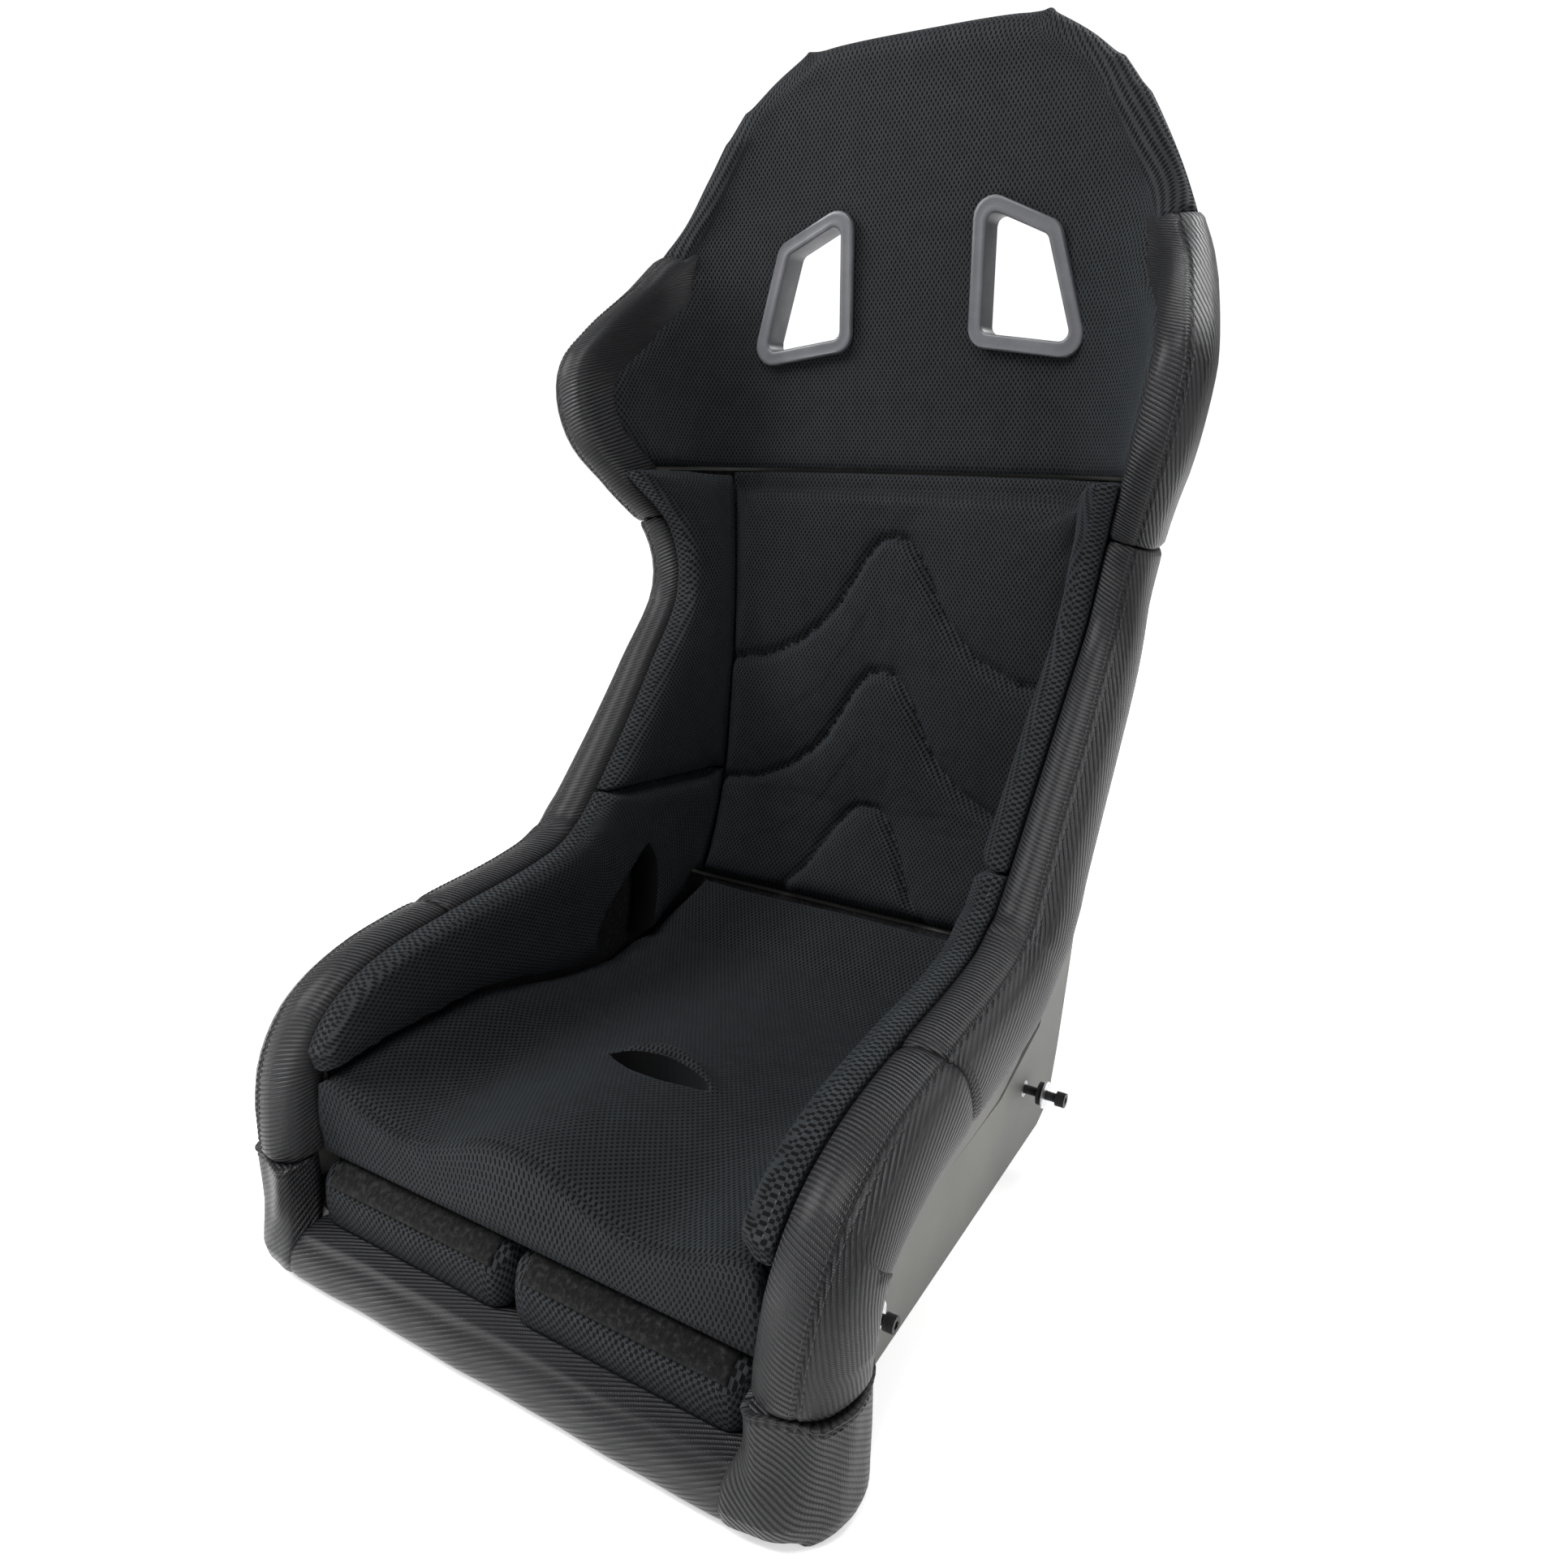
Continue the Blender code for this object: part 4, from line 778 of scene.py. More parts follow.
def front_length():
    """The horizontal length across the pan's front lip."""
    outline = closed_path(FRONT_OUTLINE, 5)
    centre = outline.mean(axis=0)
    lengths = running_length(np.vstack([outline, outline[:1]]))
    ends = FRONT_HALF - np.array((0.0, 0.002, 0.006))
    places = np.concatenate([-ends, np.linspace(-FRONT_HALF + 0.015, FRONT_HALF - 0.015, 26),
                             ends[::-1]])
    rings = []
    for x in places:
        tuck = 0.0008 * max(0.0, 1 - (FRONT_HALF - abs(x)) / 0.006) ** 2
        wave = 0.0006 * math.sin(41.0 * x) + 0.0004 * math.sin(97.0 * x + 1.0)
        ring = []
        for y, z in outline:
            outward = unit(np.array((y, z)) - centre)
            pull = tuck + (wave if y < -0.303 else 0.0)
            ring.append((x, y - pull * outward[0] + SEAT_SHIFT, z - tuck * outward[1]))
        rings.append(ring)

    def cloth_at(k, j):
        return [(0.7 * (along + around), 0.7 * (around - along)) for along, around in (
            (places[k], lengths[j]), (places[k], lengths[j + 1]),
            (places[k + 1], lengths[j + 1]), (places[k + 1], lengths[j]))]

    roll = cloth_tube("front_roll_sewn", rings, cloth_at, lambda spot: spot[1:])
    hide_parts("front_roll")


front_length()


# ---- Head cover ----------------------------------------------------------------------------
# Open spacer mesh over foam, pulled round the edge of the head and its top, with a rolled
# lower border and two harness openings.
def spacer_group():
    """Lens-shaped holes in staggered rows between soft twisted yarns."""
    group, ends_in, ends_out = new_group(
        "spacer_mesh", [("Place", "v"), ("Width", "f"), ("Length", "f"), ("Open", "f")],
        [("Hole", "f"), ("Height", "f")])
    place = ends_in.outputs["Place"]
    split = add_node(group, "SeparateXYZ", Vector=place)
    waves = []
    for axis, size in ((0, "Width"), (1, "Length")):
        turns = calculate(group, "DIVIDE", split.outputs[axis], ends_in.outputs[size])
        waves.append(calculate(group, "COSINE", calculate(group, "MULTIPLY", turns, 2 * math.pi)))
    grid = calculate(group, "MULTIPLY", *waves)
    hole = remap(group, calculate(group, "SUBTRACT", grid, ends_in.outputs["Open"]), -0.16, 0.22)
    solid = calculate(group, "SUBTRACT", 1.0, hole)
    yarns = add_node(group, "TexWave", Vector=place, Scale=420.0, Distortion=2.0)
    twist = calculate(group, "MULTIPLY", yarns.outputs["Fac"], solid)
    fill_inputs(group, ends_out, {"Hole": hole, "Height": plus_share(group, solid, twist, 0.22)})
    return group


spacer = spacer_group()


def spacer_cloth(name, width, length, hole_size, yarn, depth):
    """Knitted spacer mesh: charcoal yarns with a cool sheen, and painted near-black shade filling
    the holes.
    """
    mat, tree, shader = start_finish(name, yarn, 0.7, Sheen_Weight=0.05, Sheen_Roughness=0.4,
                                     Sheen_Tint=(0.62, 0.72, 0.85), Specular_IOR_Level=0.14)
    knit = place_group(tree, spacer, Place=cloth_place(tree), Width=width, Length=length,
                       Open=hole_size)
    place = object_place(tree)
    uneven = remap(tree, noise(tree, place, 60.0, 3.0), 0.3, 0.7)
    tone = blend_colours(tree, uneven, yarn, tuple(c * 1.35 for c in yarn))
    # Painted shade: the holes take a near-black colour far darker than the yarn.
    base = blend_colours(tree, knit.outputs["Hole"], tone, HOLE_SHADE)
    add_dust(tree, shader, place, base, (0.07, 0.07, 0.07), 0.04)
    tree.links.new(remap(tree, knit.outputs["Hole"], 0.0, 1.0, 0.58, 0.95),
                   shader.inputs["Roughness"])
    fuzz = noise(tree, place, 2400.0, 2.0)
    bump_into(tree, shader, plus_share(tree, knit.outputs["Height"], fuzz, 0.2), 0.85, depth)
    return mat


# The second colour is painted shade for the holes of the spacer mesh.
YARN, HOLE_SHADE = (0.0088, 0.0104, 0.0116), (0.0004, 0.0004, 0.0005)
COARSE_YARN = (0.0155, 0.0175, 0.0190)
face_mesh = spacer_cloth("spacer_mesh_face", 0.0044, 0.0064, 0.12, YARN, 0.0016)
coarse_mesh = spacer_cloth("spacer_mesh_side", 0.0054, 0.0078, 0.02, COARSE_YARN, 0.0024)

HEAD_START = 16.30
HEAD_FOAM = 0.0140
WRAP = 0.036                 # length of cloth from the front face round to its back edge
EDGE_PATH = np.array([
    (0.0, -HEAD_FOAM), (0.0065, -0.0105), (0.0105, -0.0040), (0.0115, 0.0040),
    (0.0090, 0.0115), (0.0020, 0.0152), (-0.0060, 0.0150), (-0.0180, 0.0128)])
TOP_TILT = unit(shell_point(LAST_ROW, 0.0) - shell_point(LAST_ROW - 0.4, 0.0))
CROWN_EASING = ((0.880, 8), (0.905, 20))      # height above which cloth is eased, and passes
HARNESS_HOLE = [(0.0725, 0.8030), (0.1290, 0.7775), (0.1560, 0.6900), (0.0725, 0.7010)]
ARC_STEPS = 6


def turned_edge(e):
    """Where cloth e metres past the edge lies: outwards and behind the shell's inner face."""
    steps = running_length(EDGE_PATH)
    return (np.interp(e / WRAP * steps[-1], steps, side) for side in EDGE_PATH.T)


def head_spot(s, over, share, past):
    """Place and map of the cloth at row s and a share of the way to the lip; over and past
    are how far it has gone beyond the head's top and sides."""
    wing = s < WING_TOP + 0.08
    leg = np.interp(s, ROLL_TABLE[:, 0], ROLL_TABLE[:, 1]) - 0.006
    reach = lip_at(s) - (leg * lip_stretch(s) if wing else 0.0015)
    d = share * reach
    side_past = 0.0 if wing else past
    normal = shell_normal(min(s, LAST_ROW - 0.02), d)
    place = shell_point(s, d)
    if max(side_past, over) > 0:
        out, behind = turned_edge(max(side_past, over))
        low, high = max(s - 0.15, HEAD_START), min(s + 0.15, LAST_ROW)
        rim = (shell_point(high, math.copysign(lip_at(high), d))
               - shell_point(low, math.copysign(lip_at(low), d)))
        way = math.copysign(1.0, d) * unit(np.cross(rim, normal)) * side_past
        way = way + TOP_TILT * max(over, 0.0)
        place = place + out * unit(way) - behind * normal
    else:
        ease = min(1.0, max(0.0, (s - HEAD_START) / 0.30))
        lift = HEAD_FOAM * (0.80 + 0.20 * math.sin(ease * math.pi / 2)) + min(over, 0.0)
        if wing:
            near = (1.0 - abs(share)) * reach
            lift -= 0.0045 * max(0.0, 1 - near / 0.016) ** 2 + 0.006 * past / WRAP
        place = place + lift * normal
    return place, d + math.copysign(side_past, share)


def head_sheet():
    """Sheet of mesh cloth over the head, with its edges turned behind the shell."""
    rows = [(HEAD_START, over) for over in (-0.0125, -0.009, -0.004)]
    rows += [(s, 0.0) for s in np.linspace(HEAD_START, LAST_ROW - 0.02, 74)]
    rows += [(LAST_ROW, over) for over in np.linspace(0.0035, WRAP, 11)]
    turns = np.linspace(WRAP, 0.0035, 11)
    columns = [(-1.0, past) for past in turns] + [(u, 0.0) for u in np.linspace(-1.0, 1.0, 83)]
    columns += [(1.0, past) for past in turns[::-1]]
    verts, uvs_at = [], []
    run = 0.0
    before = rows[0]
    for s, over in rows:
        run += np.linalg.norm(shell_point(s, 0.0) - shell_point(before[0], 0.0))
        run += abs(over - before[1])
        before = (s, over)
        for share, past in columns:
            place, across = head_spot(s, over, share, past)
            verts.append(place)
            uvs_at.append((across, run))
    count = len(columns)
    openings = harness_outlines(0.0065)
    faces, uvs = [], []
    for i in range(len(rows) - 1):
        for j in range(count - 1):
            a = i * count + j
            face = (a, a + 1, a + count + 1, a + count)
            x, y, z = sum(verts[k] for k in face) / 4
            if y > 0.25 and any(inside((x, z), outline) for outline in openings):
                continue
            faces.append(face)
            uvs.append([uvs_at[k] for k in face])
    used = sorted({k for face in faces for k in face})
    renumber = {k: n for n, k in enumerate(used)}
    faces = [tuple(renumber[k] for k in face) for face in faces]
    sheet = cloth_object("head_cover_sewn", [verts[k] for k in used], faces, uvs, face_mesh)
    bm = bmesh.new()
    bm.from_mesh(sheet.data)
    for above, passes in CROWN_EASING:
        crown = [v for v in bm.verts if v.co.z > above]
        for _ in range(passes):
            bmesh.ops.smooth_vert(bm, verts=crown, factor=0.5, use_axis_x=True,
                                  use_axis_y=True, use_axis_z=True)
    bm.to_mesh(sheet.data)
    bm.free()
    add_thickness(sheet, 0.0016)
    return sheet


def add_thickness(piece, depth):
    layer = piece.modifiers.new("thickness", "SOLIDIFY")
    layer.thickness = depth
    layer.offset = -1.0


def grown(corners, amount):
    """Convex polygon with every side moved outwards by amount."""
    count = len(corners)
    centre = np.mean(corners, axis=0)
    lines = []
    for k in range(count):
        a, b = np.array(corners[k]), np.array(corners[(k + 1) % count])
        side = unit(b - a)
        out = np.array((side[1], -side[0]))
        out = out if np.dot(out, a - centre) > 0 else -out
        lines.append((a + out * amount, side))
    result = []
    for k in range(count):
        (p, u), (q, v) = lines[k - 1], lines[k]
        cross = u[0] * v[1] - u[1] * v[0]
        t = ((q[0] - p[0]) * v[1] - (q[1] - p[1]) * v[0]) / cross
        result.append(tuple(p + u * t))
    return result


def rounded(corners, radius):
    """Polygon with its corners turned into arcs."""
    result = []
    for k, corner in enumerate(corners):
        here = np.array(corner)
        before = unit(np.array(corners[k - 1]) - here)
        after = unit(np.array(corners[(k + 1) % len(corners)]) - here)
        half = math.acos(float(np.clip(np.dot(before, after), -1, 1))) / 2
        reach = radius / math.tan(half)
        centre = here + unit(before + after) * radius / math.sin(half)
        start, stop = here + before * reach - centre, here + after * reach - centre
        a0 = math.atan2(start[1], start[0])
        turn = (math.atan2(stop[1], stop[0]) - a0 + math.pi) % (2 * math.pi) - math.pi
        for a in (a0 + turn * i / ARC_STEPS for i in range(ARC_STEPS + 1)):
            result.append((centre[0] + radius * math.cos(a), centre[1] + radius * math.sin(a)))
    return result


def harness_outlines(amount):
    right = rounded(grown(HARNESS_HOLE, amount), 0.012)
    return right, [(-x, z) for x, z in right]


def inside(spot, outline):
    """Even-odd test of a 2D spot against a closed outline."""
    x, y = spot
    result = False
    for (x0, y0), (x1, y1) in zip(outline, outline[1:] + outline[:1]):
        if (y0 > y) != (y1 > y) and x < (x1 - x0) * (y - y0) / (y1 - y0) + x0:
            result = not result
    return result


head_cover = head_sheet()
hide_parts("head_cover", "head_rim_cover")


# ---- Harness bezels ------------------------------------------------------------------------
# Moulded plastic frames clipped through the shell: a rounded flange in front with a sleeve
# behind it, and a plain locking ring on the back.
def moulded_plastic(name, low, high, roughness):
    """Fine spark-eroded texture, slightly paler where hands have rubbed it."""
    mat, tree, shader = start_finish(name, low, roughness)
    place = object_place(tree)
    rubbed = remap(tree, noise(tree, place, 26.0, 4.0), 0.4, 0.7)
    base = blend_colours(tree, rubbed, low, high)
    add_dust(tree, shader, place, base, (0.25, 0.25, 0.25), 0.10)
    tree.links.new(plus_share(tree, roughness, rubbed, -0.12), shader.inputs["Roughness"])
    bump_into(tree, shader, noise(tree, place, 1400.0, 3.0), 0.35, 0.0003)
    return mat


bezel_plastic = moulded_plastic("bezel_plastic", (0.045, 0.046, 0.052), (0.070, 0.071, 0.078),
                                0.46)
# shares from the opening out to the flange's rim, and depths behind its face
FLANGE = ((0.0, 0.0022), (0.05, 0.0008), (0.14, 0.0), (0.30, 0.0004), (0.72, 0.0006),
          (0.88, 0.0002), (0.97, 0.0012), (1.0, 0.0030), (1.0, 0.0050), (0.19, 0.0052))


def frame_ring(name, inner, outer, section, mat):
    """Ring between two XZ outlines; section lists (share outwards, depth in Y) round it."""
    verts, faces = [], []
    count, stops = len(inner), len(section)
    for (a, b), (c, d) in zip(inner, outer):
        for share, depth in section:
            verts.append((a + (c - a) * share, depth, b + (d - b) * share))
    for k in range(count):
        ahead = (k + 1) % count
        for j in range(stops):
            up = (j + 1) % stops
            faces.append((k * stops + j, k * stops + up, ahead * stops + up, ahead * stops + j))
    mesh = mesh_of(name, verts, faces)
    face_outwards(mesh, unsorted=True)
    ring = add_piece(name, mesh, mat)
    mesh.set_sharp_from_angle(angle=math.radians(50))
    return ring


for side, sign in SIDES:
    low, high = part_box(f"harness_bezel_{side}")
    front, back = low[1], high[1]
    inner = [(x * sign, z) for x, z in rounded(HARNESS_HOLE, 0.008)]
    outer = [(x * sign, z) for x, z in rounded(grown(HARNESS_HOLE, 0.0130), 0.018)]
    flange = [(share, front + depth) for share, depth in FLANGE]
    bezel = frame_ring(f"harness_bezel_{side}_moulded", inner, outer,
                       [*flange, (0.18, back), (0.0, back)], bezel_plastic)
    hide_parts(f"harness_bezel_{side}")
finish_node(["harness_bezel_rear_left", "harness_bezel_rear_right"], bezel_plastic)
finish_node(["lap_bezel_left", "lap_bezel_right", "crotch_bezel"],
            moulded_plastic("slot_plastic", (0.012, 0.012, 0.013), (0.022, 0.022, 0.024), 0.5))


# ---- Back cushion --------------------------------------------------------------------------
# A foam pad in spacer mesh between the hips and the shoulders, sewn through in three
# chevron-shaped channels.
def pad_grids(rows, cols):
    """Empty grids for the places of a pad's front and back, and for its cloth map."""
    return np.zeros((rows, cols, 3)), np.zeros((rows, cols, 3)), np.zeros((rows, cols, 2))


def closed_pad(name, grids, mats, bulge=0.18, rings=3, body="seat"):
    """Closed pad from its grids, with rounded sides between front and back; mats are the
    cloth of its front and the cloth of its sides and back."""
    front, back, front_uv = grids
    rows, cols = front.shape[:2]
    verts = [tuple(p) for p in front.reshape(-1, 3)] + [tuple(p) for p in back.reshape(-1, 3)]
    layer = rows * cols
    faces, uvs, sides = [], [], []
    for i in range(rows - 1):
        for j in range(cols - 1):
            a = i * cols + j
            quad = (a, a + 1, a + cols + 1, a + cols)
            spots = [front_uv[k // cols, k % cols] for k in quad]
            faces += [quad, tuple(v + layer for v in quad[::-1])]
            uvs += [spots, spots[::-1]]
            sides += [False, True]
    rim = [(0, j) for j in range(cols)] + [(i, cols - 1) for i in range(1, rows)]
    rim += [(rows - 1, j) for j in range(cols - 2, -1, -1)]
    rim += [(i, 0) for i in range(rows - 2, 0, -1)]
    rim_ids = [i * cols + j for i, j in rim]
    inner_of = [(min(max(i, 1), rows - 2), min(max(j, 1), cols - 2)) for i, j in rim]
    thickness = [np.linalg.norm(front[spot] - back[spot]) for spot in rim]
    around = running_length([front[spot] for spot in rim + rim[:1]])
    previous, depth0 = rim_ids, 0.0
    for r in range(1, rings + 2):
        t = r / (rings + 1)
        current = [k + layer for k in rim_ids]
        if r <= rings:
            current = list(range(len(verts), len(verts) + len(rim)))
            for spot, inner, thick in zip(rim, inner_of, thickness):
                outward = unit(front[spot] - front[inner])
                verts.append(tuple(front[spot] * (1 - t) + back[spot] * t
                                   + outward * bulge * thick * math.sin(math.pi * t)))
        depth1 = t * float(np.mean(thickness))
        for k in range(len(rim)):
            n = (k + 1) % len(rim)
            faces.append((previous[n], previous[k], current[k], current[n]))
            uvs.append([(around[k + 1], depth0), (around[k], depth0), (around[k], depth1),
                        (around[k + 1], depth1)])
            sides.append(True)
        previous, depth0 = current, depth1
    pad = cloth_object(name, verts, faces, uvs, mats[0], body)
    pad.data.materials.append(mats[1])
    pad.data.polygons.foreach_set("material_index", [int(flag) for flag in sides])
    return pad


def swell(pad, grid, pressure, cap, creases=()):
    """Blows the sewn cover up a little with a cloth simulation, by no more than cap; its back
    and its creases stay sewn down."""
    layer = grid.shape[0] * grid.shape[1]
    scene = bpy.context.scene
    sewn = pad.vertex_groups.new(name="sewn")
    sewn.add([*creases, *range(layer, 2 * layer)], 1.0, "REPLACE")
    cloth = pad.modifiers.new("cloth", "CLOTH")
    settings = cloth.settings
    settings.use_pressure = True
    settings.uniform_pressure_force = pressure
    settings.vertex_group_mass = "sewn"
    settings.effector_weights.gravity = 0.0
    settings.mass = 0.2
    settings.tension_stiffness = 20.0
    settings.compression_stiffness = 20.0
    settings.shear_stiffness = 8.0
    settings.bending_stiffness = 0.5
    cloth.collision_settings.use_collision = False
    cloth.point_cache.frame_start, cloth.point_cache.frame_end = 1, CLOTH_FRAMES
    for step in range(1, CLOTH_FRAMES + 1):
        scene.frame_set(step)
    blown = pad.evaluated_get(bpy.context.evaluated_depsgraph_get())
    before = np.empty(len(pad.data.vertices) * 3, np.float32)
    after = np.empty_like(before)
    pad.data.vertices.foreach_get("co", before)
    blown.data.vertices.foreach_get("co", after)
    move = (after - before).reshape(-1, 3)
    length = np.linalg.norm(move, axis=1, keepdims=True)
    limit = cap * np.tanh(length / cap) / np.maximum(length, 1e-9)
    move = np.where(np.isfinite(move), move * limit, 0.0)
    pad.data.vertices.foreach_set("co", (before.reshape(-1, 3) + move).reshape(-1))
    pad.modifiers.remove(cloth)
    scene.frame_set(1)
    pad.data.update()


CLOTH_FRAMES = 20
CHEVRON_X = (0.0, 0.012, 0.020, 0.030, 0.040, 0.055, 0.068, 0.096, 0.133, 0.184, 0.25)
CHEVRON_DROP = (0.0, 0.002, 0.009, 0.022, 0.040, 0.068, 0.084, 0.108, 0.126, 0.134, 0.137)
CHEVRON_TOPS = (0.514, 0.384, 0.247)


def chevron_distance(x, z):
    """Distance across the slope to the nearest channel, positive below it."""
    best = 9.0
    for top in CHEVRON_TOPS:
        line = top - np.interp(abs(x), CHEVRON_X, CHEVRON_DROP)
        slope = (np.interp(abs(x) + 0.004, CHEVRON_X, CHEVRON_DROP)
                 - np.interp(abs(x), CHEVRON_X, CHEVRON_DROP)) / 0.004
        gap = (line - z) / math.hypot(1.0, slope)
        best = gap if abs(gap) < abs(best) else best
    return best


LINING = 0.0020
BACK_BOTTOM, BACK_TOP = 8.95, 16.15
BACK_FOAM, BACK_EDGE, BACK_LENGTH = 0.0290, 0.0120, 0.4185


def back_half(s):
    return np.interp(s, (9.0, 13.0, 16.0), (0.184, 0.187, 0.200))


def back_pad():
    """Crowned pad whose face is drawn in along the chevrons and swells below each of them."""
    rows, cols = 118, 105
    grids = front, back, uv = pad_grids(rows, cols)
    stations = np.linspace(BACK_BOTTOM, BACK_TOP, rows)
    runs = running_length([shell_point(s, 0.0) for s in stations])
    creases = []
    for i, (s, run) in enumerate(zip(stations, runs)):
        half = back_half(s) - 0.001
        for j, share in enumerate(np.linspace(-1, 1, cols)):
            d = share * half
            normal = shell_normal(s, d)
            base = shell_point(s, d)
            border = min((1 - abs(share)) * half, run, max(0.0, BACK_LENGTH - run))
            fall = 1 - max(0.0, 1 - border / 0.013) ** 2
            height = BACK_EDGE + (BACK_FOAM - BACK_EDGE) * math.sqrt(max(0.0, fall))
            gap = chevron_distance(base[0], base[2])
            height -= 0.0072 * math.exp(-(gap / 0.0052) ** 2)
            if gap > 0:
                height += 0.0030 * math.exp(-gap / 0.045) * (1 - math.exp(-gap / 0.007))
            else:
                height -= 0.0048 * math.exp(gap / 0.018)
            if abs(gap) < 0.0026:
                creases.append(i * cols + j)
            front[i, j] = base + height * normal
            back[i, j] = base + (LINING + 0.0012) * normal
            uv[i, j] = (d, run)
    pad = closed_pad("back_cushion_sewn", grids, (face_mesh, coarse_mesh))
    swell(pad, front, 3.0, 0.0035, creases)
    return pad


back_cushion = back_pad()
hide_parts("back_cushion")


# ---- Wall pads -----------------------------------------------------------------------------
# Four foam pads on the side walls, two by the ribs and two by the hips, faced in spacer mesh
# with coarser mesh down their sides; the hip pads are cut away round the lap-strap slots.
PAD_BACK, PAD_FACE, PAD_ROUND = 0.0115, 0.0375, 0.010
PAD_STITCH = (0.0050, 0.0034, 0.0007)
LAP_NOTCH = ((0.104, 0.221), (0.096, 0.222), (0.050, 0.190), (0.016, 0.156), (0.022, 0.112),
             (0.052, 0.080), (0.086, 0.100), (0.106, 0.160), (0.112, 0.200))
NOTCH_REACH = (0.15, 0.24)


def wall_pad(piece, side, sign, stations, across):
    """Pad along a side wall between the lengths that across(row) gives, with its inner edge
    stitched."""
    rows, cols = len(stations), 27
    front, back, uv = pad_grids(rows, cols)
    spans = [across(s) for s in stations]
    runs = running_length([shell_point(s, sum(span) / 2) for s, span in zip(stations, spans)])
    for i, (s, (start, stop), run) in enumerate(zip(stations, spans, runs)):
        for j, share in enumerate(np.linspace(0, 1, cols)):
            d = start + share * (stop - start)
            normal = shell_normal(s, d)
            base = shell_point(s, d)
            border = min(share * (stop - start), (1 - share) * (stop - start), run,
                         runs[-1] - run)
            fall = math.sqrt(max(0.0, 1 - max(0.0, 1 - border / PAD_ROUND) ** 2))
            height = PAD_BACK + (PAD_FACE - PAD_BACK) * (0.62 + 0.38 * fall)
            front[i, j] = (base + height * normal) * (sign, 1.0, 1.0)
            back[i, j] = (base + PAD_BACK * normal) * (sign, 1.0, 1.0)
            uv[i, j] = (d, run)
    pad = closed_pad(f"{piece}_{side}_sewn", (front, back, uv), (face_mesh, coarse_mesh))
    swell(pad, front, 2.5, 0.0025)
    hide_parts(f"{piece}_{side}")
    stitches(f"{piece}_{side}_stitches", 0.5 * (front[:, -1] + back[:, -1]), PAD_STITCH)
    return pad


def torso_across(s):
    return back_half(s) + 0.0035, lip_at(s) + 0.0055


CUSHION_Y = np.array((-0.292, -0.220, -0.125, -0.030, 0.050, 0.110, 0.150, 0.187)) + SEAT_SHIFT
CENTRE_Z = (0.164, 0.158, 0.140, 0.124, 0.116, 0.124, 0.142, 0.158)
HOLLOW_Z = (0.134, 0.132, 0.128, 0.120, 0.114, 0.122, 0.140, 0.157)
EDGE_Z = (0.155, 0.158, 0.155, 0.130, 0.114, 0.122, 0.142, 0.158)


def hip_across(s):
    """From just above the seat cushion up to the top of the roll."""
    stop = lip_at(s) + 0.0055
    start = max(back_half(s) + 0.0035 if s > 8.0 else 0.0, shell_section(s)[1][1])
    for d in np.linspace(start, stop - 0.012, 90):
        spots = [over_shell(s, d, height) for height in (PAD_BACK, PAD_FACE)]
        if all(z > np.interp(y, CUSHION_Y, EDGE_Z) + 0.005 for _, y, z in spots):
            break
    return d, stop


def cut_through(pad, outline, low, high, axis):
    """Cuts a hole of this outline through a piece, from low to high along an axis."""
    count = len(outline)
    verts = [(level, a, b) if axis == "X" else (a, b, level)
             for level in (low, high) for a, b in outline]
    faces = [tuple(range(count))[::-1], tuple(range(count, 2 * count))]
    faces += [(k, (k + 1) % count, count + (k + 1) % count, count + k) for k in range(count)]
    mesh = mesh_of("cutter", verts, faces)
    face_outwards(mesh, unsorted=True)
    cutter = bpy.data.objects.new("cutter", mesh)
    bpy.context.scene.collection.objects.link(cutter)
    cut = pad.modifiers.new("cut", "BOOLEAN")
    cut.operation = "DIFFERENCE"
    cut.solver = "EXACT"
    cut.object = cutter
    bpy.context.view_layer.update()
    graph = bpy.context.evaluated_depsgraph_get()
    left_over = bpy.data.meshes.new_from_object(pad.evaluated_get(graph))
    pad.modifiers.remove(cut)
    pad.data = left_over
    bpy.data.objects.remove(cutter, do_unlink=True)


for side, sign in SIDES:
    pad = wall_pad("torso_pad", side, sign, np.linspace(11.05, 16.1, 64), torso_across)
    rounder = pad.modifiers.new("smooth_foam", "SUBSURF")
    rounder.levels = rounder.render_levels = 1
    pad = wall_pad("hip_pad", side, sign, np.linspace(1.25, 10.95, 90), hip_across)
    cut_through(pad, closed_path(LAP_NOTCH, 4), *sorted(sign * x for x in NOTCH_REACH), "X")


# ---- Seat cushion --------------------------------------------------------------------------
# A moulded foam cushion in spacer mesh: a ridge between two leg hollows at the front, dished
# at the rear, with a raised lip behind the crotch-strap slot.
CUSHION_HALF = 0.1965
HOLLOW_X = 0.108
CUSHION_FRONT, CUSHION_REAR = -0.2870 + SEAT_SHIFT, 0.1870 + SEAT_SHIFT
FRONT_SEAM = CUSHION_FRONT + 0.0065
SLOT_Y = -0.125 + SEAT_SHIFT
STEP_Y, THIGH_TOP = -0.1632, 0.0945           # the underside steps up over the thigh pads
STRAP_HOLE = ((-0.049, 0.002), (-0.030, 0.0105), (0.0, 0.0150), (0.030, 0.0105),
              (0.049, 0.002), (0.032, -0.0070), (0.012, -0.0150), (-0.012, -0.0150),
              (-0.032, -0.0070))


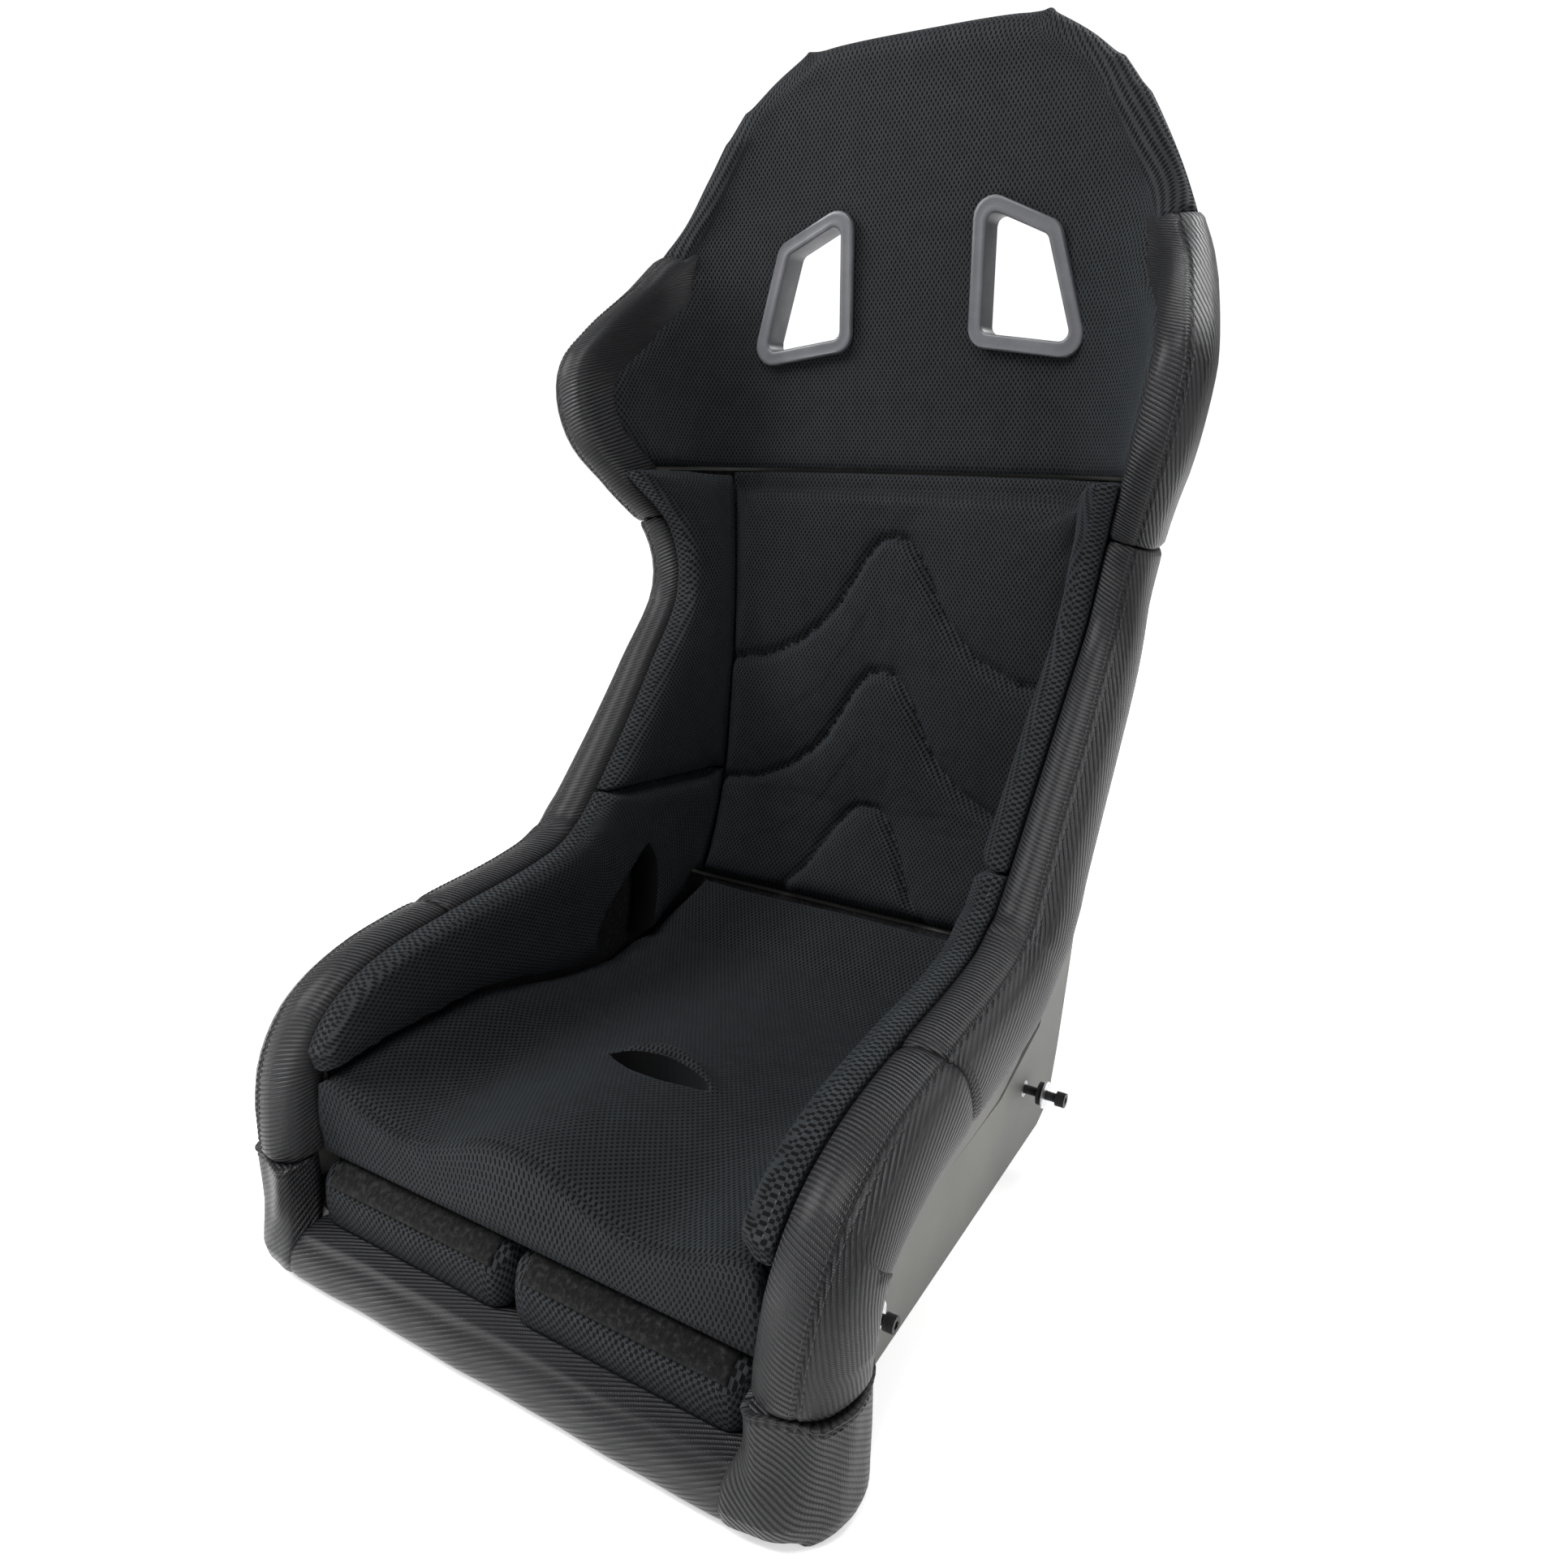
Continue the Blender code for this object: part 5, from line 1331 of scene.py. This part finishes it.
def seat_height(x, y):
    """The cushion's top: ridge, leg hollows and edges, the lip behind the slot, the seam."""
    centre, hollow, edge = (np.interp(y, CUSHION_Y, z) for z in (CENTRE_Z, HOLLOW_Z, EDGE_Z))
    if abs(x) < HOLLOW_X:
        share = abs(x) / HOLLOW_X
        low, high = centre, hollow
    else:
        share = (abs(x) - HOLLOW_X) / (CUSHION_HALF - HOLLOW_X)
        low, high = hollow, edge
    z = low + (high - low) * (0.5 - 0.5 * math.cos(math.pi * share))
    arc = SLOT_Y + 0.017 - 0.017 * (x / 0.052) ** 2
    near = math.exp(-((y - arc - 0.005) / 0.0075) ** 2) * max(0.0, 1 - (x / 0.056) ** 2)
    seam = math.exp(-((y - FRONT_SEAM) / 0.0019) ** 2)
    return z + 0.0125 * near - 0.0026 * seam


def cushion_half(y):
    return np.interp(y, (0.090, CUSHION_REAR), (CUSHION_HALF, 0.170))


def seat_bottom(x, y):
    if y < STEP_Y:
        return THIGH_TOP
    floor = np.interp(y, np.array((-0.166, 0.0, 0.06, 0.12, 0.168, 0.187)) + SEAT_SHIFT,
                      (0.046, 0.049, 0.056, 0.078, 0.116, 0.140))
    rise = max(0.0, abs(x) - 0.140) / (cushion_half(y) - 0.140)
    return floor + np.interp(y, (0.090, CUSHION_REAR), (0.040, 0.010)) * rise ** 2


def seat_pad():
    """Crowned cushion whose underside steps up over the thigh pads, with the strap hole."""
    ys = np.unique(np.concatenate([CUSHION_FRONT + np.linspace(0.0, 0.012, 16),
                                   np.linspace(CUSHION_FRONT + 0.016, CUSHION_REAR, 110),
                                   [STEP_Y - 0.0002, STEP_Y + 0.0008]]))
    shares = np.linspace(-1, 1, 83)
    grids = front, back, uv = pad_grids(len(ys), len(shares))
    for i, y in enumerate(ys):
        for j, share in enumerate(shares):
            x = share * cushion_half(y)
            border = min((1 - abs(share)) * cushion_half(y), y - ys[0], ys[-1] - y)
            drop = 0.0040 * max(0.0, 1 - border / 0.0055) ** 2
            bottom = seat_bottom(x, y)
            front[i, j] = (x, y, max(seat_height(x, y) - drop, bottom + 0.006))
            back[i, j] = (x, y, bottom)
            uv[i, j] = (x, y)
    pad = closed_pad("seat_cushion_sewn", grids, (face_mesh, face_mesh), 0.05, 6)
    swell(pad, front, 3.0, 0.0025)
    hole = [(x, SLOT_Y + y) for x, y in STRAP_HOLE]
    cut_through(pad, closed_path(hole, 4), 0.02, 0.22, "Z")
    return pad


seat_cushion = seat_pad()
seam_path = [(x, FRONT_SEAM, seat_height(x, FRONT_SEAM) + 0.0008)
             for x in np.linspace(-0.192, 0.192, 120)]
stitches("seat_cushion_stitches", seam_path, (0.0052, 0.0036, 0.0005))
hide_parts("seat_cushion")


# ---- Thigh pads ----------------------------------------------------------------------------
# Two removable foam blocks under the cushion's front edge, faced in coarse spacer mesh, each
# with a strip of fuzzy loop cloth on top that grips hook tape under the cushion.
loop_pile = brushed_loop("fuzzy_loop_pile", (0.0012, 0.0012, 0.0014), (0.016, 0.016, 0.017))
PAD_FRONT = -0.2985              # the pads' faces stand just proud of the cushion's
PAD_SLOPE = 0.024                # depth over which their tops slope up to the cushion


def pad_top(y, high_z):
    """Height of a pad's top: it slopes up from the front, then runs level."""
    rise = min(1.0, max(0.0, (y - PAD_FRONT) / PAD_SLOPE))
    return high_z - 0.0004 - 0.0165 * (1 - math.sin(rise * math.pi / 2)) ** 1.1


def block_pad(name, node, body):
    """Foam block with a sloping top and a rounded front."""
    low, high = (np.array(corner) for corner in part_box(node))
    rows, cols = 41, 57
    grids = front, back, uv = pad_grids(rows, cols)
    ys = PAD_FRONT + 0.0020 + (high[1] - PAD_FRONT - 0.0040) * np.linspace(0, 1, rows) ** 1.5
    for i, y in enumerate(ys):
        t = max(0.0, 1 - (y - ys[0]) / 0.013)
        inset = 0.0012 + 0.0115 * (1 - math.sqrt(max(0.0, 1 - t * t)))
        for j, u in enumerate(np.linspace(0, 1, cols)):
            x = low[0] + inset + u * (high[0] - low[0] - 2 * inset)
            border = min(u, 1 - u) * (high[0] - low[0]) / 0.008
            soft = 0.0035 * max(0.0, 1 - border) ** 2
            front[i, j] = (x, y, pad_top(y, high[2]) - soft)
            back[i, j] = (x, y, low[2] + 0.0004 + 0.5 * soft)
            uv[i, j] = (x, y)
    pad = closed_pad(name, grids, (coarse_mesh, coarse_mesh), 0.07, 7, body)
    swell(pad, front, 2.0, 0.0012)
    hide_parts(node)


def loop_strip(name, node, body):
    """Thick strip of loop cloth over the pad's sloping top, with a matted, uneven pile."""
    low, high = (np.array(corner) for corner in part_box(node))
    pad_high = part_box(node.replace("loop", "pad"))[1][2]
    xs = np.linspace(low[0] + 0.0020, high[0] - 0.0020, 150)
    ys = np.concatenate([np.linspace(PAD_FRONT + 0.0030, PAD_FRONT + 0.034, 26),
                         np.linspace(PAD_FRONT + 0.040, high[1], 14)])
    rng = np.random.default_rng(7)
    verts, faces, uvs = [], [], []
    for y in ys:
        for x in xs:
            edge = min(x - xs[0], xs[-1] - x, y - ys[0]) / 0.004
            round_off = 0.0022 * max(0.0, 1 - edge) ** 2
            z = pad_top(y, pad_high) + 0.0026 - round_off + 0.0007 * rng.random()
            verts.append((x, y, z))
    count = len(xs)
    for i in range(len(ys) - 1):
        for j in range(count - 1):
            a = i * count + j
            faces.append((a, a + 1, a + count + 1, a + count))
            uvs.append([(0, 0), (1, 0), (1, 1), (0, 1)])
    strip = cloth_object(name, verts, faces, uvs, loop_pile, body)
    add_thickness(strip, 0.0022)
    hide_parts(node)


for side, _ in SIDES:
    body = f"thigh_pad_{side}_body"
    block_pad(f"thigh_pad_{side}_sewn", f"thigh_pad_{side}", body)
    loop_strip(f"thigh_loop_{side}_pile", f"thigh_loop_{side}", body)
finish_node(["pan_hook_strip_left", "pan_hook_strip_right"],
            brushed_loop("hook_tape", (0.008, 0.008, 0.009), (0.020, 0.020, 0.022)))


# ---- Mounting hardware ---------------------------------------------------------------------
# Four M8 socket cap screws in threaded bushes, 290 mm apart front to rear; the rear ones are
# only started, with a rubber and a zinc-plated washer loose on the shank.
def turned_metal(name, colour, roughness, metallic, thread_pitch=0.0):
    """Steel with a plated finish; threads are cut where a pitch is given."""
    mat, tree, shader = start_finish(name, colour, roughness, Metallic=metallic)
    place = object_place(tree)
    worn = remap(tree, noise(tree, place, 300.0, 3.0), 0.45, 0.75)
    tree.links.new(blend_colours(tree, worn, colour, tuple(min(1.0, c * 1.8) for c in colour)),
                   shader.inputs["Base Color"])
    tree.links.new(plus_share(tree, roughness, worn, 0.12), shader.inputs["Roughness"])
    height = noise(tree, place, 1500.0, 2.0)
    if thread_pitch:
        along = add_node(tree, "SeparateXYZ", Vector=place).outputs[0]
        turns = calculate(tree, "DIVIDE", along, thread_pitch)
        height = plus_share(tree, height, calculate(tree, "PINGPONG", turns, 0.5), 4.0)
    bump_into(tree, shader, height, 0.6, 0.0004)
    return mat


black_screw = turned_metal("black_oxide_steel", (0.012, 0.012, 0.013), 0.38, 0.7, 0.00125)
zinc = turned_metal("zinc_plate", (0.62, 0.63, 0.65), 0.28, 1.0)
bush = turned_metal("turned_steel", (0.40, 0.40, 0.41), 0.40, 1.0)
rubber = moulded_plastic("black_rubber", (0.010, 0.010, 0.010), (0.018, 0.018, 0.018), 0.85)
for side, _ in SIDES:
    for end in ("front", "rear"):
        finish_node([f"{end}_screw_{side}"], black_screw)
        finish_node([f"{end}_washer_{side}"], zinc)
        finish_node([f"threaded_insert_{end}_{side}"], bush)
    finish_node([f"rear_rubber_washer_{side}"], rubber)
